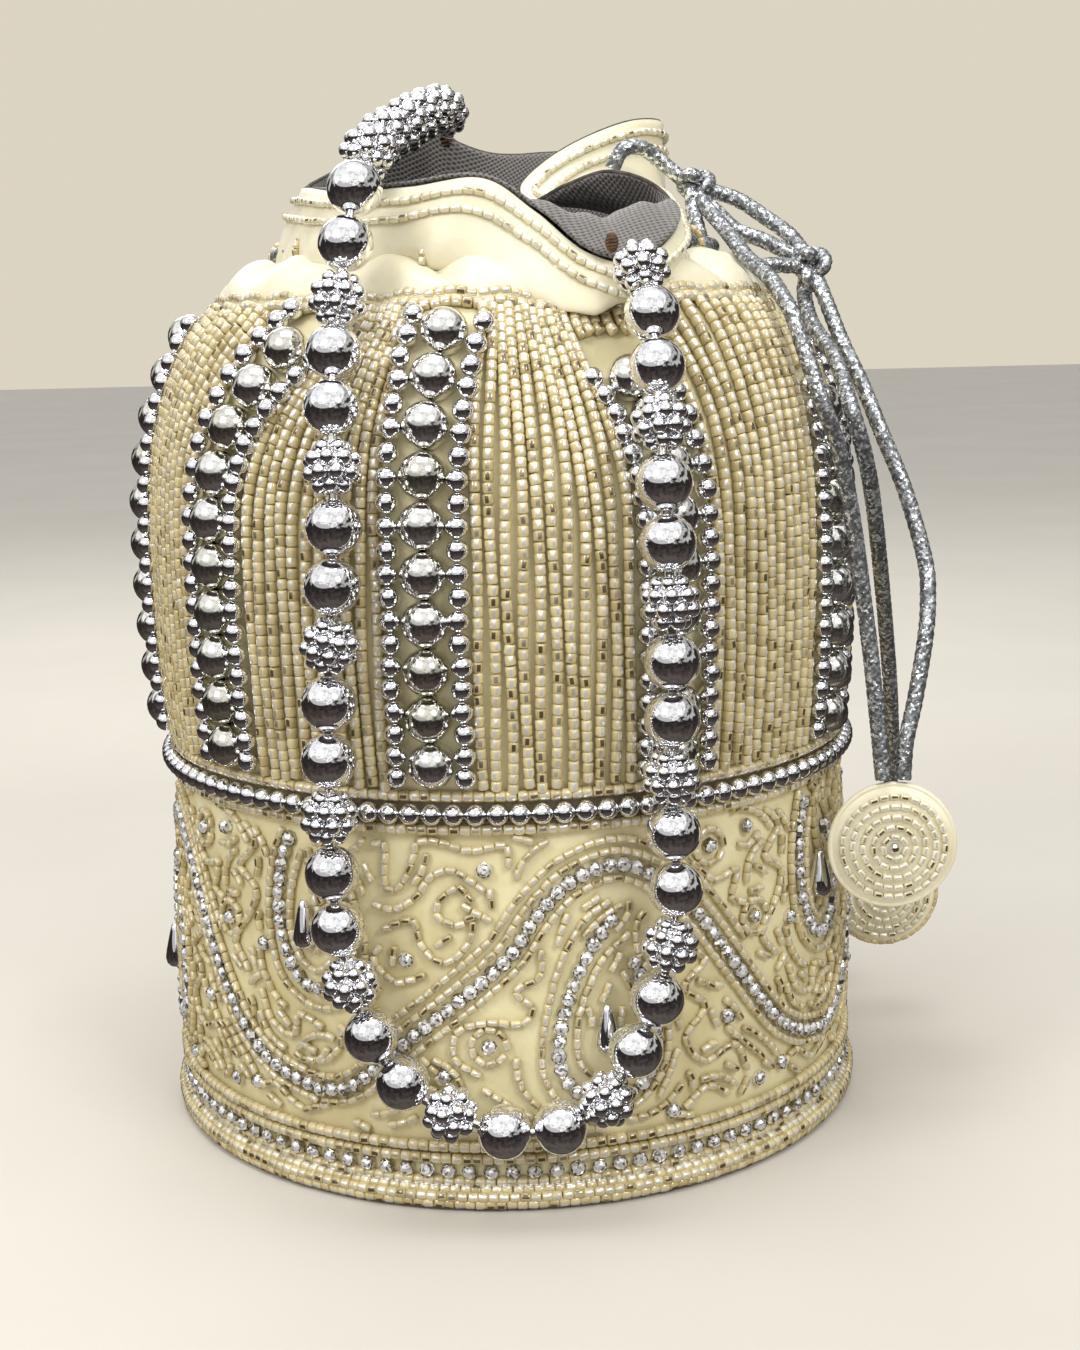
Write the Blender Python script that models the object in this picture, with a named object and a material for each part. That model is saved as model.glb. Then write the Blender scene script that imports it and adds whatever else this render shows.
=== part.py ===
"""Beaded drum-shaped evening bag with a ruffled drawstring mouth, a bead-strand handle and two disc tassels.

The bag stands on Z = 0 with its axis on Z, and its front faces -Y. Lengths are written in millimetres and
turned into metres by MM. Every sub-part is one closed solid in its own object.
"""

import math

import bmesh
import bpy
from mathutils import Matrix, Vector

MM = 0.001
GAP = 0.35

# Drum body: (height, outer radius) of the satin, from the hem to the rolled shoulder.
LOWER_WALL = [(5.2, 74.2), (18, 74.8), (34, 75.0), (57, 74.0), (77, 72.9)]
UPPER_WALL = [(81, 72.9), (95, 74.1), (110, 74.8), (126, 74.8), (140, 74.0), (150, 72.2), (158, 69.6),
              (165, 66.4), (170, 63.2), (173, 60.0)]
SATIN = 1.0
ROUND_STEPS = 44

# Soft creases that draw the shoulder in: bearing in degrees, depth, width in degrees.
CREASES = [(18, 5.0, 12), (-28, 2.5, 11), (78, 2.5, 14), (116, 2.8, 13), (176, 2.5, 13), (-136, 2.8, 13),
           (-98, 2.2, 14)]
CREASE_FOOT = 128.0
CREASE_HEAD = 170.0
CREASE_INNER = 44.0
CREASE_OUTER = 58.0
CREASE_DROP = 0.35

# Base, stiffener and lining
BASE_RADIUS = 72.2
BASE_COVER = 0.8
BOARD_RADIUS = 70.0
BOARD_THICKNESS = 2.0
STIFFENER_RADIUS = 71.5
STIFFENER_THICKNESS = 0.8
STIFFENER_TOP = 126.0
LINING_RADIUS = 70.3
LINING_THICKNESS = 0.7
LINING_STRAIGHT_TOP = 142.0
LINING_SHOULDER_EDGE = (57.6, 171.2)
HEM_RADIUS = 74.95
HEM_ROLL = 2.1

# Bead trims
BELT_HEIGHT = 79.0
BELT_RADIUS = 75.0
BELT_BEAD = 3.8
SHOULDER_EDGE_RADIUS = 60.2
SHOULDER_EDGE_HEIGHT = 174.6
SHOULDER_EDGE_ROLL = 2.2
PILLARS = 10
FIRST_PILLAR_DEG = -10.0
PILLAR_FOOT = 83.0
PILLAR_HEADS = [168, 163, 154, 168, 168, 168, 168, 168, 168, 168]
PILLAR_HALF_WIDTH = 7.4
PILLAR_CLEAR = 1.1
SIDE_BEAD_HEIGHT = 3.4
DOME_HEIGHT = 5.0
DOME_FOOT_HALF = 3.6
DOME_CROWN_HALF = 1.9
PILLAR_ROWS = 8

# Neck
NECK_RADIUS = 42.2
NECK_HEIGHT = 181.6
COLLAR = [(58.6, 172.3), (57.2, 175.0), (53.0, 177.4), (48.5, 179.2), (43.4, 180.4)]
COLLAR_THICKNESS = 0.8
NECK_CORD_RADIUS = 46.6
NECK_CORD_HEIGHT = 184.3
CORD = 3.2
LOOP_BEARINGS_DEG = [-104, -32, 128, 172, 218]
LOOP_RING = 2.9
LOOP_BEAD = 1.2

# Ruffle rim, seen from above and anticlockwise from the left: neck bearing in degrees, x, y, z.
RIM = [
    (184, -40, -6, 198.5), (205, -37, -24, 197), (222, -28, -39, 195), (240, -15, -47, 195),
    (258, -1, -50, 196), (272, 9, -51, 189.4), (285, 18, -53, 182), (300, 27, -53.5, 179.8),
    (312, 34.5, -45, 184.5), (321, 37, -33, 190), (330, 34, -22.5, 196), (338, 25, -18, 199.5),
    (345, 16, -16, 197.5), (351, 8.5, -12.5, 194.5), (357, 6, -4, 198), (363, 12, 4, 204),
    (370, 21, 8, 209), (378, 31, 13, 212.5), (388, 38, 22, 213), (400, 37, 33, 211), (412, 28, 41, 209),
    (430, 13, 45, 208.5), (448, 0, 45.5, 208.5), (462, -9, 41, 211), (470, -14, 36, 214),
    (482, -23, 33, 211), (500, -32, 26, 206), (522, -38, 12, 202),
]
RUFFLE_COLUMNS = 84
RUFFLE_ROWS = 4
RUFFLE_ARCH = 7.5
FRILL_THICKNESS = 0.8
FRILL_LINING = 0.6
FRILL_GAP = 0.8

# Handle: bead centres of the strand that hangs in front, from the left rim to the right rim.
HANDLE_BEAD = 10.4
HANDLE_BEADS = 36
HANDLE_ROUTE = [
    (-24.5, -57.5, 194.2), (-27.7, -64.5, 174.2), (-28.8, -74, 154.2), (-29, -77.8, 133), (-30.6, -78.2, 112),
    (-31.7, -78, 90.6), (-32, -78.2, 69.4), (-29.6, -79.4, 49), (-20.8, -81.8, 29.8), (-3.6, -83.4, 20.3),
    (8.2, -83.4, 20.1), (17.4, -82.8, 24.3), (27.4, -81.6, 43), (31.6, -80.6, 63.7), (31, -80.6, 84.3),
    (31.4, -81.4, 105.2), (30.9, -81.6, 127), (30.1, -79, 147.6), (29.5, -69.5, 168.2), (27.9, -61.5, 178.4),
]
TAIL_BEADS = 7
# One bead's turned outline: how far along the strand, and how thick, as shares of the bead's size.
BEAD_OUTLINE = [(-0.42, 0.62), (0.0, 1.0), (0.42, 0.62)]
HANDLE_KNOT_RIGHT = (22.4, -56.6, 184.2)
HANDLE_KNOT_RIGHT_SIZE = (1.5, 1.5, 1.5)
HANDLE_KNOT_LEFT = (-10.8, 26, 212)
HANDLE_KNOT_LEFT_SIZE = (1.6, 1.6, 3.2)
HANDLE_TAIL_ROUTE = [(-22.6, -47.5, 201.4), (-20.2, -36.5, 205.4), (-17.4, -26, 208.4), (-14.9, -14, 211.4),
                     (-12.9, -3, 213.6), (-11.6, 8, 215.2), (-10.8, 17.5, 215.6)]

# Drawstring bow and the hanging cords, hand-placed routes.
BOW_TAIL_ROUTE = [(25.5, -0.5, 201), (27.8, -1, 205), (32, 1.2, 205.6), (36.2, 2.6, 202.8), (39, 2.6, 200)]
BOW_LOOP_ROUTE = [(48, 1.4, 196), (53, 0.4, 194), (58.4, -1.4, 190.2), (63, -3.4, 186.6)]
BOW_RETURN_ROUTE = [(47.6, -3, 191.6), (51.6, -5, 187.6), (57, -6, 185.4), (62.6, -6.4, 182.6)]
NECK_TAIL_ROUTE = [(48.6, -15, 179), (53.6, -12.4, 179.4), (58.4, -10, 180), (62.6, -8.4, 179.8)]
LONG_STRAND_TOP_ROUTE = [(45.4, -4.4, 192.4), (48.6, -11, 187.6), (52, -21, 181.4), (55.6, -31.5, 176.6),
                         (57.8, -38.4, 171.8)]
BOW_KNOT = (43.6, 1.2, 197.2)
BOW_KNOT_SIZE = (4.2, 4.2, 4.6)
END_KNOT = (67.4, -6.4, 179.6)
END_KNOT_SIZE = (4.2, 4.4, 5.2)
LEFT_STRAND_ROUTE = [(58.6, -40.4, 169.8), (60.8, -43.2, 162.3), (63.7, -46.6, 152.4), (66.8, -45, 144.6),
                     (69, -43.2, 136.6), (71.3, -41.8, 124.6), (73, -41.6, 112.6), (74.3, -42.2, 102.4),
                     (75.4, -43.6, 90.5), (76.6, -45.4, 77.4)]
RIGHT_STRAND_ROUTE = [(69.4, -10.4, 173), (72.5, -15.5, 164), (76, -20.5, 155), (79.2, -24.8, 145.6),
                      (83.5, -29, 133.6), (87, -33, 119.5), (87.1, -36, 111.7), (86, -39, 103.9),
                      (83.5, -42, 92.1), (81.3, -44.4, 84), (80.6, -45.4, 77.4)]
BACK_STRAND_ROUTE = [(66.4, -4.8, 172.8), (66.6, -14.5, 167.4), (69, -28.4, 160.8), (70, -40, 152.4), (73.2, -39.4, 142),
                     (76.6, -31, 131.5), (80.8, -19, 113.5), (84.6, -7, 96), (87.2, 2, 83), (89.6, 12, 66.6),
                     (90, 19, 52), (89.8, 22, 45.6)]
TASSEL_RADIUS = 12.6
TASSEL_THICKNESS = 4.4
# The disc's padded edge: share of the radius and share of the thickness.
TASSEL_OUTLINE = [(0.55, -0.5), (0.9, -0.34), (1.0, 0.0), (0.9, 0.34), (0.55, 0.5)]
FRONT_TASSEL = (78.6, -45.4, 62.8)
BACK_TASSEL = (89.8, 22, 31.2)
SWING_PIVOT = (66, -14, 174)

SILVER = (0.78, 0.78, 0.8, 1)
CREAM = (0.76, 0.69, 0.46, 1)
CHAMPAGNE = (0.62, 0.53, 0.3, 1)
TAUPE = (0.1, 0.09, 0.08, 1)
CORD_GREY = (0.45, 0.47, 0.5, 1)
KRAFT = (0.5, 0.42, 0.3, 1)
BROWN = (0.2, 0.1, 0.04, 1)

# Finish of each material: colour, roughness, metallic.
FINISHES = {
    "satin": (CREAM, 0.4, 0.0), "seed_beads": (CHAMPAGNE, 0.2, 0.0), "silver_beads": (SILVER, 0.08, 1.0),
    "lining": (TAUPE, 0.8, 0.0), "board": (KRAFT, 0.9, 0.0), "cord": (CORD_GREY, 0.35, 0.8),
    "thread": (BROWN, 0.8, 0.0),
}


def clear_scene():
    for item in list(bpy.data.objects):
        bpy.data.objects.remove(item, do_unlink=True)


def finish(name):
    """A Principled material in the finish that the sub-part has."""
    colour, roughness, metallic = FINISHES[name]
    material = bpy.data.materials.new(name)
    material.use_nodes = True
    shader = material.node_tree.nodes["Principled BSDF"]
    shader.inputs["Base Color"].default_value = colour
    shader.inputs["Roughness"].default_value = roughness
    shader.inputs["Metallic"].default_value = metallic
    return material


def place(data, name, material, pivot=None, smooth=True):
    """Link the mesh or curve as an object whose origin is on its pivot, if it has one."""
    item = bpy.data.objects.new(name, data)
    bpy.context.scene.collection.objects.link(item)
    data.materials.append(finish(material))
    if pivot is not None:
        item.location = Vector(pivot) * MM
    if smooth and isinstance(data, bpy.types.Mesh):
        data.shade_smooth()
        data.set_sharp_from_angle(angle=math.radians(40))
    return item


def creased(point):
    """Where a point of the shoulder lies once the soft creases draw it in."""
    x, y, z = point
    radius = math.hypot(x, y)
    rise = min(1.0, max(0.0, (z - CREASE_FOOT) / (CREASE_HEAD - CREASE_FOOT)))
    reach = min(1.0, max(0.0, (radius - CREASE_INNER) / (CREASE_OUTER - CREASE_INNER)))
    if rise * reach == 0:
        return Vector(point)
    bearing = math.degrees(math.atan2(x, -y))
    inward = 0.0
    for at, depth, width in CREASES:
        away = (bearing - at + 180) % 360 - 180
        inward += depth * math.exp(-(away / width) ** 2)
    inward *= rise * rise * (3 - 2 * rise) * reach
    shrink = 1 - inward / radius
    return Vector((x * shrink, y * shrink, z - CREASE_DROP * inward))


def mesh_from(points, faces, pivot=None):
    """A mesh of points in millimetres, with its faces turned outwards."""
    work = bmesh.new()
    shift = Vector(pivot) if pivot is not None else Vector((0, 0, 0))
    verts = [work.verts.new((Vector(p) - shift) * MM) for p in points]
    for face in faces:
        work.faces.new([verts[i] for i in face])
    bmesh.ops.recalc_face_normals(work, faces=work.faces)
    if work.calc_volume(signed=True) < 0:
        bmesh.ops.reverse_faces(work, faces=work.faces)
    data = bpy.data.meshes.new("solid")
    work.to_mesh(data)
    work.free()
    return data


def ring_solid(loops):
    """Faces between closed loops that follow each other round a ring."""
    count, size = len(loops), len(loops[0])
    points = [p for loop in loops for p in loop]
    faces = []
    for i in range(count):
        j = (i + 1) % count
        for k in range(size):
            m = (k + 1) % size
            faces.append((i * size + k, i * size + m, j * size + m, j * size + k))
    return points, faces


def turned(profile, steps=ROUND_STEPS):
    """A ring turned about Z from a closed (radius, height) outline."""
    loops = []
    for i in range(steps):
        angle = 2 * math.pi * i / steps
        loops.append([creased((r * math.cos(angle), r * math.sin(angle), z)) for r, z in profile])
    return ring_solid(loops)


def turned_cup(outside, inside, steps=ROUND_STEPS):
    """A round cup or disc: outline from the bottom centre to the rim, then back to the inner centre."""
    outline = outside + inside
    points = []
    for i in range(steps):
        angle = 2 * math.pi * i / steps
        points += [creased((r * math.cos(angle), r * math.sin(angle), z)) for r, z in outline]
    size = len(outline)
    low, high = len(points), len(points) + 1
    points += [(0, 0, outside[0][1]), (0, 0, inside[-1][1])]
    faces = []
    for i in range(steps):
        j = (i + 1) % steps
        faces += [(i * size + k, i * size + k + 1, j * size + k + 1, j * size + k) for k in range(size - 1)]
        faces.append((low, i * size, j * size))
        faces.append((high, j * size + size - 1, i * size + size - 1))
    return points, faces


def roll(radius, height, half, sides=6):
    """Closed outline of a round roll, as (radius, height) pairs."""
    return [(radius + half * math.cos(2 * math.pi * k / sides), height + half * math.sin(2 * math.pi * k / sides))
            for k in range(sides)]


def wall_outline(wall, thickness):
    """Closed outline of a wall whose outer face follows (height, radius) pairs."""
    outer = [(r, z) for z, r in wall]
    inner = [(r - thickness, z) for r, z in reversed(outer)]
    return outer + inner


def interpolate(table, key):
    """Straight-line reading of a table of (key, value) pairs."""
    for (a, va), (b, vb) in zip(table, table[1:]):
        if key <= b:
            return va + (vb - va) * (key - a) / (b - a)
    return table[-1][1]


def smooth_route(route, spacing=None, steps=None):
    """Points at an even spacing, or in even steps, along a smooth curve through the route's own points."""
    knots = [Vector(p) for p in route]
    knots = [2 * knots[0] - knots[1]] + knots + [2 * knots[-1] - knots[-2]]
    fine = []
    for a, b, c, d in zip(knots, knots[1:], knots[2:], knots[3:]):
        for k in range(12):
            t = k / 12
            fine.append(0.5 * (2 * b + (c - a) * t + (2 * a - 5 * b + 4 * c - d) * t * t
                               + (3 * b - a - 3 * c + d) * t ** 3))
    fine.append(knots[-2])
    total = sum((q - p).length for p, q in zip(fine, fine[1:]))
    count = steps or max(2, round(total / spacing))
    step = total / count
    points, run, target = [fine[0]], 0.0, step
    for p, q in zip(fine, fine[1:]):
        length = (q - p).length
        while run + length >= target - 1e-9 and len(points) < count:
            points.append(p.lerp(q, (target - run) / length))
            target += step
        run += length
    points.append(fine[-1])
    return points


def cord(name, route, pivot=None):
    """A round cord as a curve with filled caps."""
    shift = Vector(pivot) if pivot is not None else Vector((0, 0, 0))
    data = bpy.data.curves.new(name, "CURVE")
    data.dimensions = "3D"
    data.bevel_depth = CORD / 2 * MM
    data.bevel_resolution = 2
    data.use_fill_caps = True
    spline = data.splines.new("POLY")
    points = smooth_route(route, CORD * 2.4)
    spline.points.add(len(points) - 1)
    for target, point in zip(spline.points, points):
        target.co = (*((point - shift) * MM), 1)
    return place(data, name, "cord", pivot)


def swept(centres, radii, sides):
    """A capped tube whose radius changes along its centres."""
    normal = None
    points = []
    count = len(centres)
    for i, centre in enumerate(centres):
        ahead = centres[min(i + 1, count - 1)] - centres[max(i - 1, 0)]
        ahead.normalize()
        if normal is None:
            normal = ahead.orthogonal().normalized()
        normal = (normal - ahead * normal.dot(ahead)).normalized()
        side = ahead.cross(normal)
        for k in range(sides):
            turn = 2 * math.pi * k / sides
            points.append(centre + (normal * math.cos(turn) + side * math.sin(turn)) * radii[i])
    faces = [tuple(range(sides)), tuple(range((count - 1) * sides, count * sides))]
    for i in range(count - 1):
        for k in range(sides):
            m = (k + 1) % sides
            faces.append((i * sides + k, i * sides + m, (i + 1) * sides + m, (i + 1) * sides + k))
    return points, faces


def bead_strand(name, route, count, pivot=None):
    """Beads strung touching on their thread, as one turned body along the route."""
    beads = smooth_route(route, steps=count - 1)
    half = HANDLE_BEAD / 2
    centres, radii = [], []
    for i, bead in enumerate(beads):
        ahead = (beads[min(i + 1, len(beads) - 1)] - beads[max(i - 1, 0)]).normalized()
        for along, size in BEAD_OUTLINE:
            centres.append(bead + ahead * along * HANDLE_BEAD)
            radii.append(half * size)
    points, faces = swept(centres, radii, 8)
    return place(mesh_from(points, faces, pivot), name, "silver_beads", pivot)


def base_parts():
    cover = turned_cup([(BASE_RADIUS, 0)], [(BASE_RADIUS, BASE_COVER)])
    place(mesh_from(*cover), "base_cover", "satin")
    low = BASE_COVER + GAP
    board = turned_cup([(BOARD_RADIUS, low)], [(BOARD_RADIUS, low + BOARD_THICKNESS)])
    place(mesh_from(*board), "base_board", "board")
    hem = turned(roll(HEM_RADIUS, HEM_ROLL + 0.3, HEM_ROLL))
    place(mesh_from(*hem), "hem_piping", "seed_beads")
    return low + BOARD_THICKNESS + GAP


def body_walls(floor):
    lower = turned(wall_outline(LOWER_WALL, SATIN))
    place(mesh_from(*lower), "lower_band", "satin")
    upper = turned(wall_outline(UPPER_WALL, SATIN))
    place(mesh_from(*upper), "upper_body", "seed_beads")
    stiff = [(floor, STIFFENER_RADIUS), (STIFFENER_TOP, STIFFENER_RADIUS)]
    place(mesh_from(*turned(wall_outline(stiff, STIFFENER_THICKNESS))), "wall_stiffener", "board")


def lining_bag(floor):
    """One fabric cup: floor, wall, the underside of the shoulder and of the collar."""
    under = SATIN + GAP
    wall = [(LINING_RADIUS, z) for z in (floor, STIFFENER_TOP, LINING_STRAIGHT_TOP)]
    shoulder = [(min(LINING_RADIUS, r - under), z - 0.5) for z, r in UPPER_WALL if z > LINING_STRAIGHT_TOP]
    shoulder[-1] = LINING_SHOULDER_EDGE
    neck = [(r - 0.6, z - COLLAR_THICKNESS - 1.0) for r, z in COLLAR[2:]]
    outside = wall + shoulder + neck
    inside = [(r - LINING_THICKNESS, z - 0.35) for r, z in reversed(outside[1:])]
    inside.append((LINING_RADIUS - LINING_THICKNESS, floor + LINING_THICKNESS))
    place(mesh_from(*turned_cup(outside, inside)), "lining_bag", "lining")


def bead_trims():
    belt = turned(roll(BELT_RADIUS, BELT_HEIGHT, BELT_BEAD / 2))
    place(mesh_from(*belt), "bead_belt", "silver_beads")
    edge = turned(roll(SHOULDER_EDGE_RADIUS, SHOULDER_EDGE_HEIGHT, SHOULDER_EDGE_ROLL / 2))
    place(mesh_from(*edge), "shoulder_border", "seed_beads")
    for i in range(PILLARS):
        pillar(i)


def pillar(index):
    """A column of ten domes between two columns of small beads, following the wall's profile."""
    bearing = math.radians(FIRST_PILLAR_DEG + index * 360 / PILLARS)
    out = Vector((math.sin(bearing), -math.cos(bearing), 0))
    side = Vector((math.cos(bearing), math.sin(bearing), 0))
    half = PILLAR_HALF_WIDTH
    rise = [(half, 0.0), (half, SIDE_BEAD_HEIGHT), (DOME_FOOT_HALF, SIDE_BEAD_HEIGHT), (DOME_CROWN_HALF, DOME_HEIGHT)]
    section = [(-across, proud) for across, proud in rise] + rise[::-1] + [(0.0, 0.2)]
    rows = PILLAR_ROWS
    loops = []
    for row in range(rows + 1):
        height = PILLAR_FOOT + (PILLAR_HEADS[index] - PILLAR_FOOT) * row / rows
        radius = interpolate(UPPER_WALL, height)
        slope = interpolate(UPPER_WALL, height + 2) - interpolate(UPPER_WALL, height - 2)
        lean = math.atan2(-slope, 4)
        for_row = []
        for across, proud in section:
            depth = radius + PILLAR_CLEAR + proud * math.cos(lean)
            sag = math.sqrt(depth * depth - across * across)
            for_row.append(creased(out * sag + side * across + Vector((0, 0, height + proud * math.sin(lean)))))
        loops.append(for_row)
    points = [p for loop in loops for p in loop]
    size = len(section)
    faces = [tuple(range(size)), tuple(range(rows * size, (rows + 1) * size))]
    for row in range(rows):
        for k in range(size):
            m = (k + 1) % size
            faces.append((row * size + k, row * size + m, (row + 1) * size + m, (row + 1) * size + k))
    place(mesh_from(points, faces), f"pillar_{index + 1:02d}", "silver_beads")


def rim_points():
    """Even samples of the closed rim and of the neck bearing below each."""
    route = [Vector(p[1:]) for p in RIM]
    bearings = [p[0] for p in RIM]
    count = len(RIM)
    samples = []
    for column in range(RUFFLE_COLUMNS):
        place_on = column * count / RUFFLE_COLUMNS
        i, t = int(place_on), place_on - int(place_on)
        a, b, c, d = (route[(i + k) % count] for k in (-1, 0, 1, 2))
        point = 0.5 * (2 * b + (c - a) * t + (2 * a - 5 * b + 4 * c - d) * t * t
                       + (3 * b - a - 3 * c + d) * t ** 3)
        start = bearings[i]
        end = bearings[i + 1] if i + 1 < count else bearings[0] + 360
        samples.append((math.radians(start + (end - start) * t), point))
    return samples


def ruffle_surface(samples, column, share):
    """Point of the frill between the neck (share 0) and the rim (share 1)."""
    bearing, rim = samples[column % len(samples)]
    neck = Vector((NECK_RADIUS * math.cos(bearing), NECK_RADIUS * math.sin(bearing), NECK_HEIGHT))
    spread = share ** 1.7
    point = neck.lerp(rim, spread)
    low = min(1.0, max(0.0, (200 - rim.z) / 16))
    point.z = neck.z + (rim.z - neck.z) * share + RUFFLE_ARCH * low * math.sin(math.pi * share)
    return point


def frill_layer(name, material, near, far):
    """One fabric layer of the ruffle, between two offsets inwards from the outer face."""
    samples = rim_points()
    loops = []
    for column in range(RUFFLE_COLUMNS):
        outer, inner = [], []
        for row in range(RUFFLE_ROWS + 1):
            share = row / RUFFLE_ROWS
            here = ruffle_surface(samples, column, share)
            round_it = ruffle_surface(samples, column + 1, share) - ruffle_surface(samples, column - 1, share)
            up = (ruffle_surface(samples, column, min(1, share + 0.1))
                  - ruffle_surface(samples, column, max(0, share - 0.1)))
            outward = round_it.cross(up).normalized()
            outer.append(here - outward * near)
            inner.append(here - outward * far)
        loops.append(outer + inner[::-1])
    place(mesh_from(*ring_solid(loops)), name, material)


def neck_parts():
    top = [(r, z) for r, z in COLLAR]
    bottom = [(r - 0.35, z - COLLAR_THICKNESS) for r, z in reversed(COLLAR)]
    place(mesh_from(*turned(top + bottom)), "satin_collar", "satin")
    frill_layer("ruffle", "satin", 0, FRILL_THICKNESS)
    frill_layer("ruffle_lining", "lining", FRILL_THICKNESS + FRILL_GAP, FRILL_THICKNESS + FRILL_GAP + FRILL_LINING)
    ring = turned(roll(NECK_CORD_RADIUS, NECK_CORD_HEIGHT, CORD / 2))
    place(mesh_from(*ring), "neck_cord", "cord")
    for number, bearing in enumerate(LOOP_BEARINGS_DEG):
        drawstring_loop(number + 1, math.radians(bearing))


def drawstring_loop(number, bearing):
    """A small ring of seed beads that holds the neck cord."""
    out = Vector((math.cos(bearing), math.sin(bearing), 0))
    across = Vector((-math.sin(bearing), math.cos(bearing), 0))
    centre = out * NECK_CORD_RADIUS + Vector((0, 0, NECK_CORD_HEIGHT))
    loops = []
    for i in range(12):
        turn = 2 * math.pi * i / 12
        spoke = out * math.cos(turn) + Vector((0, 0, math.sin(turn)))
        middle = centre + spoke * LOOP_RING
        loops.append([middle + (spoke * math.cos(a) + across * math.sin(a)) * LOOP_BEAD / 2
                      for a in (2 * math.pi * k / 6 for k in range(6))])
    place(mesh_from(*ring_solid(loops)), f"drawstring_loop_{number}", "seed_beads")


def handle_parts():
    left, right = Vector(HANDLE_ROUTE[0]), Vector(HANDLE_ROUTE[-1])
    bead_strand("handle_strand", HANDLE_ROUTE, HANDLE_BEADS, pivot=(left + right) / 2)
    bead_strand("handle_tail", HANDLE_TAIL_ROUTE, TAIL_BEADS)
    knot("handle_knot_right", HANDLE_KNOT_RIGHT, HANDLE_KNOT_RIGHT_SIZE, "thread")
    knot("handle_knot_left", HANDLE_KNOT_LEFT, HANDLE_KNOT_LEFT_SIZE, "thread")


def knot(name, centre, size, material, pivot=None):
    """A tied knot as a plain rounded lump."""
    work = bmesh.new()
    bmesh.ops.create_icosphere(work, subdivisions=2, radius=1.0)
    shift = Vector(pivot) if pivot is not None else Vector((0, 0, 0))
    bmesh.ops.transform(work, verts=work.verts, matrix=Matrix.Diagonal((*size, 1)))
    bmesh.ops.translate(work, verts=work.verts, vec=Vector(centre) - shift)
    bmesh.ops.scale(work, verts=work.verts, vec=(MM, MM, MM))
    data = bpy.data.meshes.new(name)
    work.to_mesh(data)
    work.free()
    return place(data, name, material, pivot)


def tassel(name, centre):
    """A padded disc that faces -Y, with its origin on the vertical line that it turns about."""
    steps = 28
    points, faces = [], []
    for i in range(steps):
        turn = 2 * math.pi * i / steps
        for spread, deep in TASSEL_OUTLINE:
            points.append(Vector(centre) + Vector((spread * TASSEL_RADIUS * math.cos(turn),
                                                   deep * TASSEL_THICKNESS,
                                                   spread * TASSEL_RADIUS * math.sin(turn))))
    size = len(TASSEL_OUTLINE)
    for i in range(steps):
        j = (i + 1) % steps
        faces += [(i * size + k, i * size + k + 1, j * size + k + 1, j * size + k) for k in range(size - 1)]
    faces.append(tuple(i * size for i in range(steps)))
    faces.append(tuple(i * size + size - 1 for i in range(steps)))
    place(mesh_from(points, faces, centre), name, "satin", centre)


def drawstring_parts():
    cord("bow_tail", BOW_TAIL_ROUTE)
    cord("bow_loop_outer", BOW_LOOP_ROUTE)
    cord("bow_loop_inner", BOW_RETURN_ROUTE)
    cord("neck_tail", NECK_TAIL_ROUTE)
    cord("strand_top", LONG_STRAND_TOP_ROUTE)
    knot("bow_knot", BOW_KNOT, BOW_KNOT_SIZE, "cord")
    knot("end_knot", END_KNOT, END_KNOT_SIZE, "cord")
    cord("strand_left", LEFT_STRAND_ROUTE, SWING_PIVOT)
    cord("strand_right", RIGHT_STRAND_ROUTE, SWING_PIVOT)
    cord("strand_back", BACK_STRAND_ROUTE, SWING_PIVOT)
    tassel("front_tassel", FRONT_TASSEL)
    tassel("back_tassel", BACK_TASSEL)


clear_scene()
lining_floor = base_parts()
body_walls(lining_floor)
lining_bag(lining_floor)
bead_trims()
neck_parts()
handle_parts()
drawstring_parts()
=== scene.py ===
"""Looks of the beaded evening bag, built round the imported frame. Lengths are millimetres; MM makes them metres."""

import math

import bpy
import numpy as np
from mathutils import Matrix, Vector


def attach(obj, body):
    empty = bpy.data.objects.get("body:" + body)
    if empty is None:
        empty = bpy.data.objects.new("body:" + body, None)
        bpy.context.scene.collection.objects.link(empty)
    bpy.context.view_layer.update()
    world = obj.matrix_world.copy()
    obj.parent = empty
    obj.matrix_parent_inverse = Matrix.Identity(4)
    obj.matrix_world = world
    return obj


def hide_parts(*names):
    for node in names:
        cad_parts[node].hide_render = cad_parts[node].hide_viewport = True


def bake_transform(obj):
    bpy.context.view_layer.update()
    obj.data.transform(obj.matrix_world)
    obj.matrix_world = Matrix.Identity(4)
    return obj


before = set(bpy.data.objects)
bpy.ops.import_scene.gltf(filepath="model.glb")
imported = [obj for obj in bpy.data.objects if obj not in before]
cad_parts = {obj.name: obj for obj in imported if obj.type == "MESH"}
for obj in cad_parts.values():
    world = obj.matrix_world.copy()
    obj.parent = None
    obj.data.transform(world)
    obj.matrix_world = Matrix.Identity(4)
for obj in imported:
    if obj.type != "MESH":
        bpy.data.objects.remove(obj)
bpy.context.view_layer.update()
MM = 0.001
RNG = np.random.default_rng(7)


# ---------------------------------------------------------------- camera

LENS = 61.0
SENSOR = 36.0
EYE = (7.5, -405.8, 168.2)
PITCH = math.radians(10.75)
ROLL = math.radians(1.38)


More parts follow.
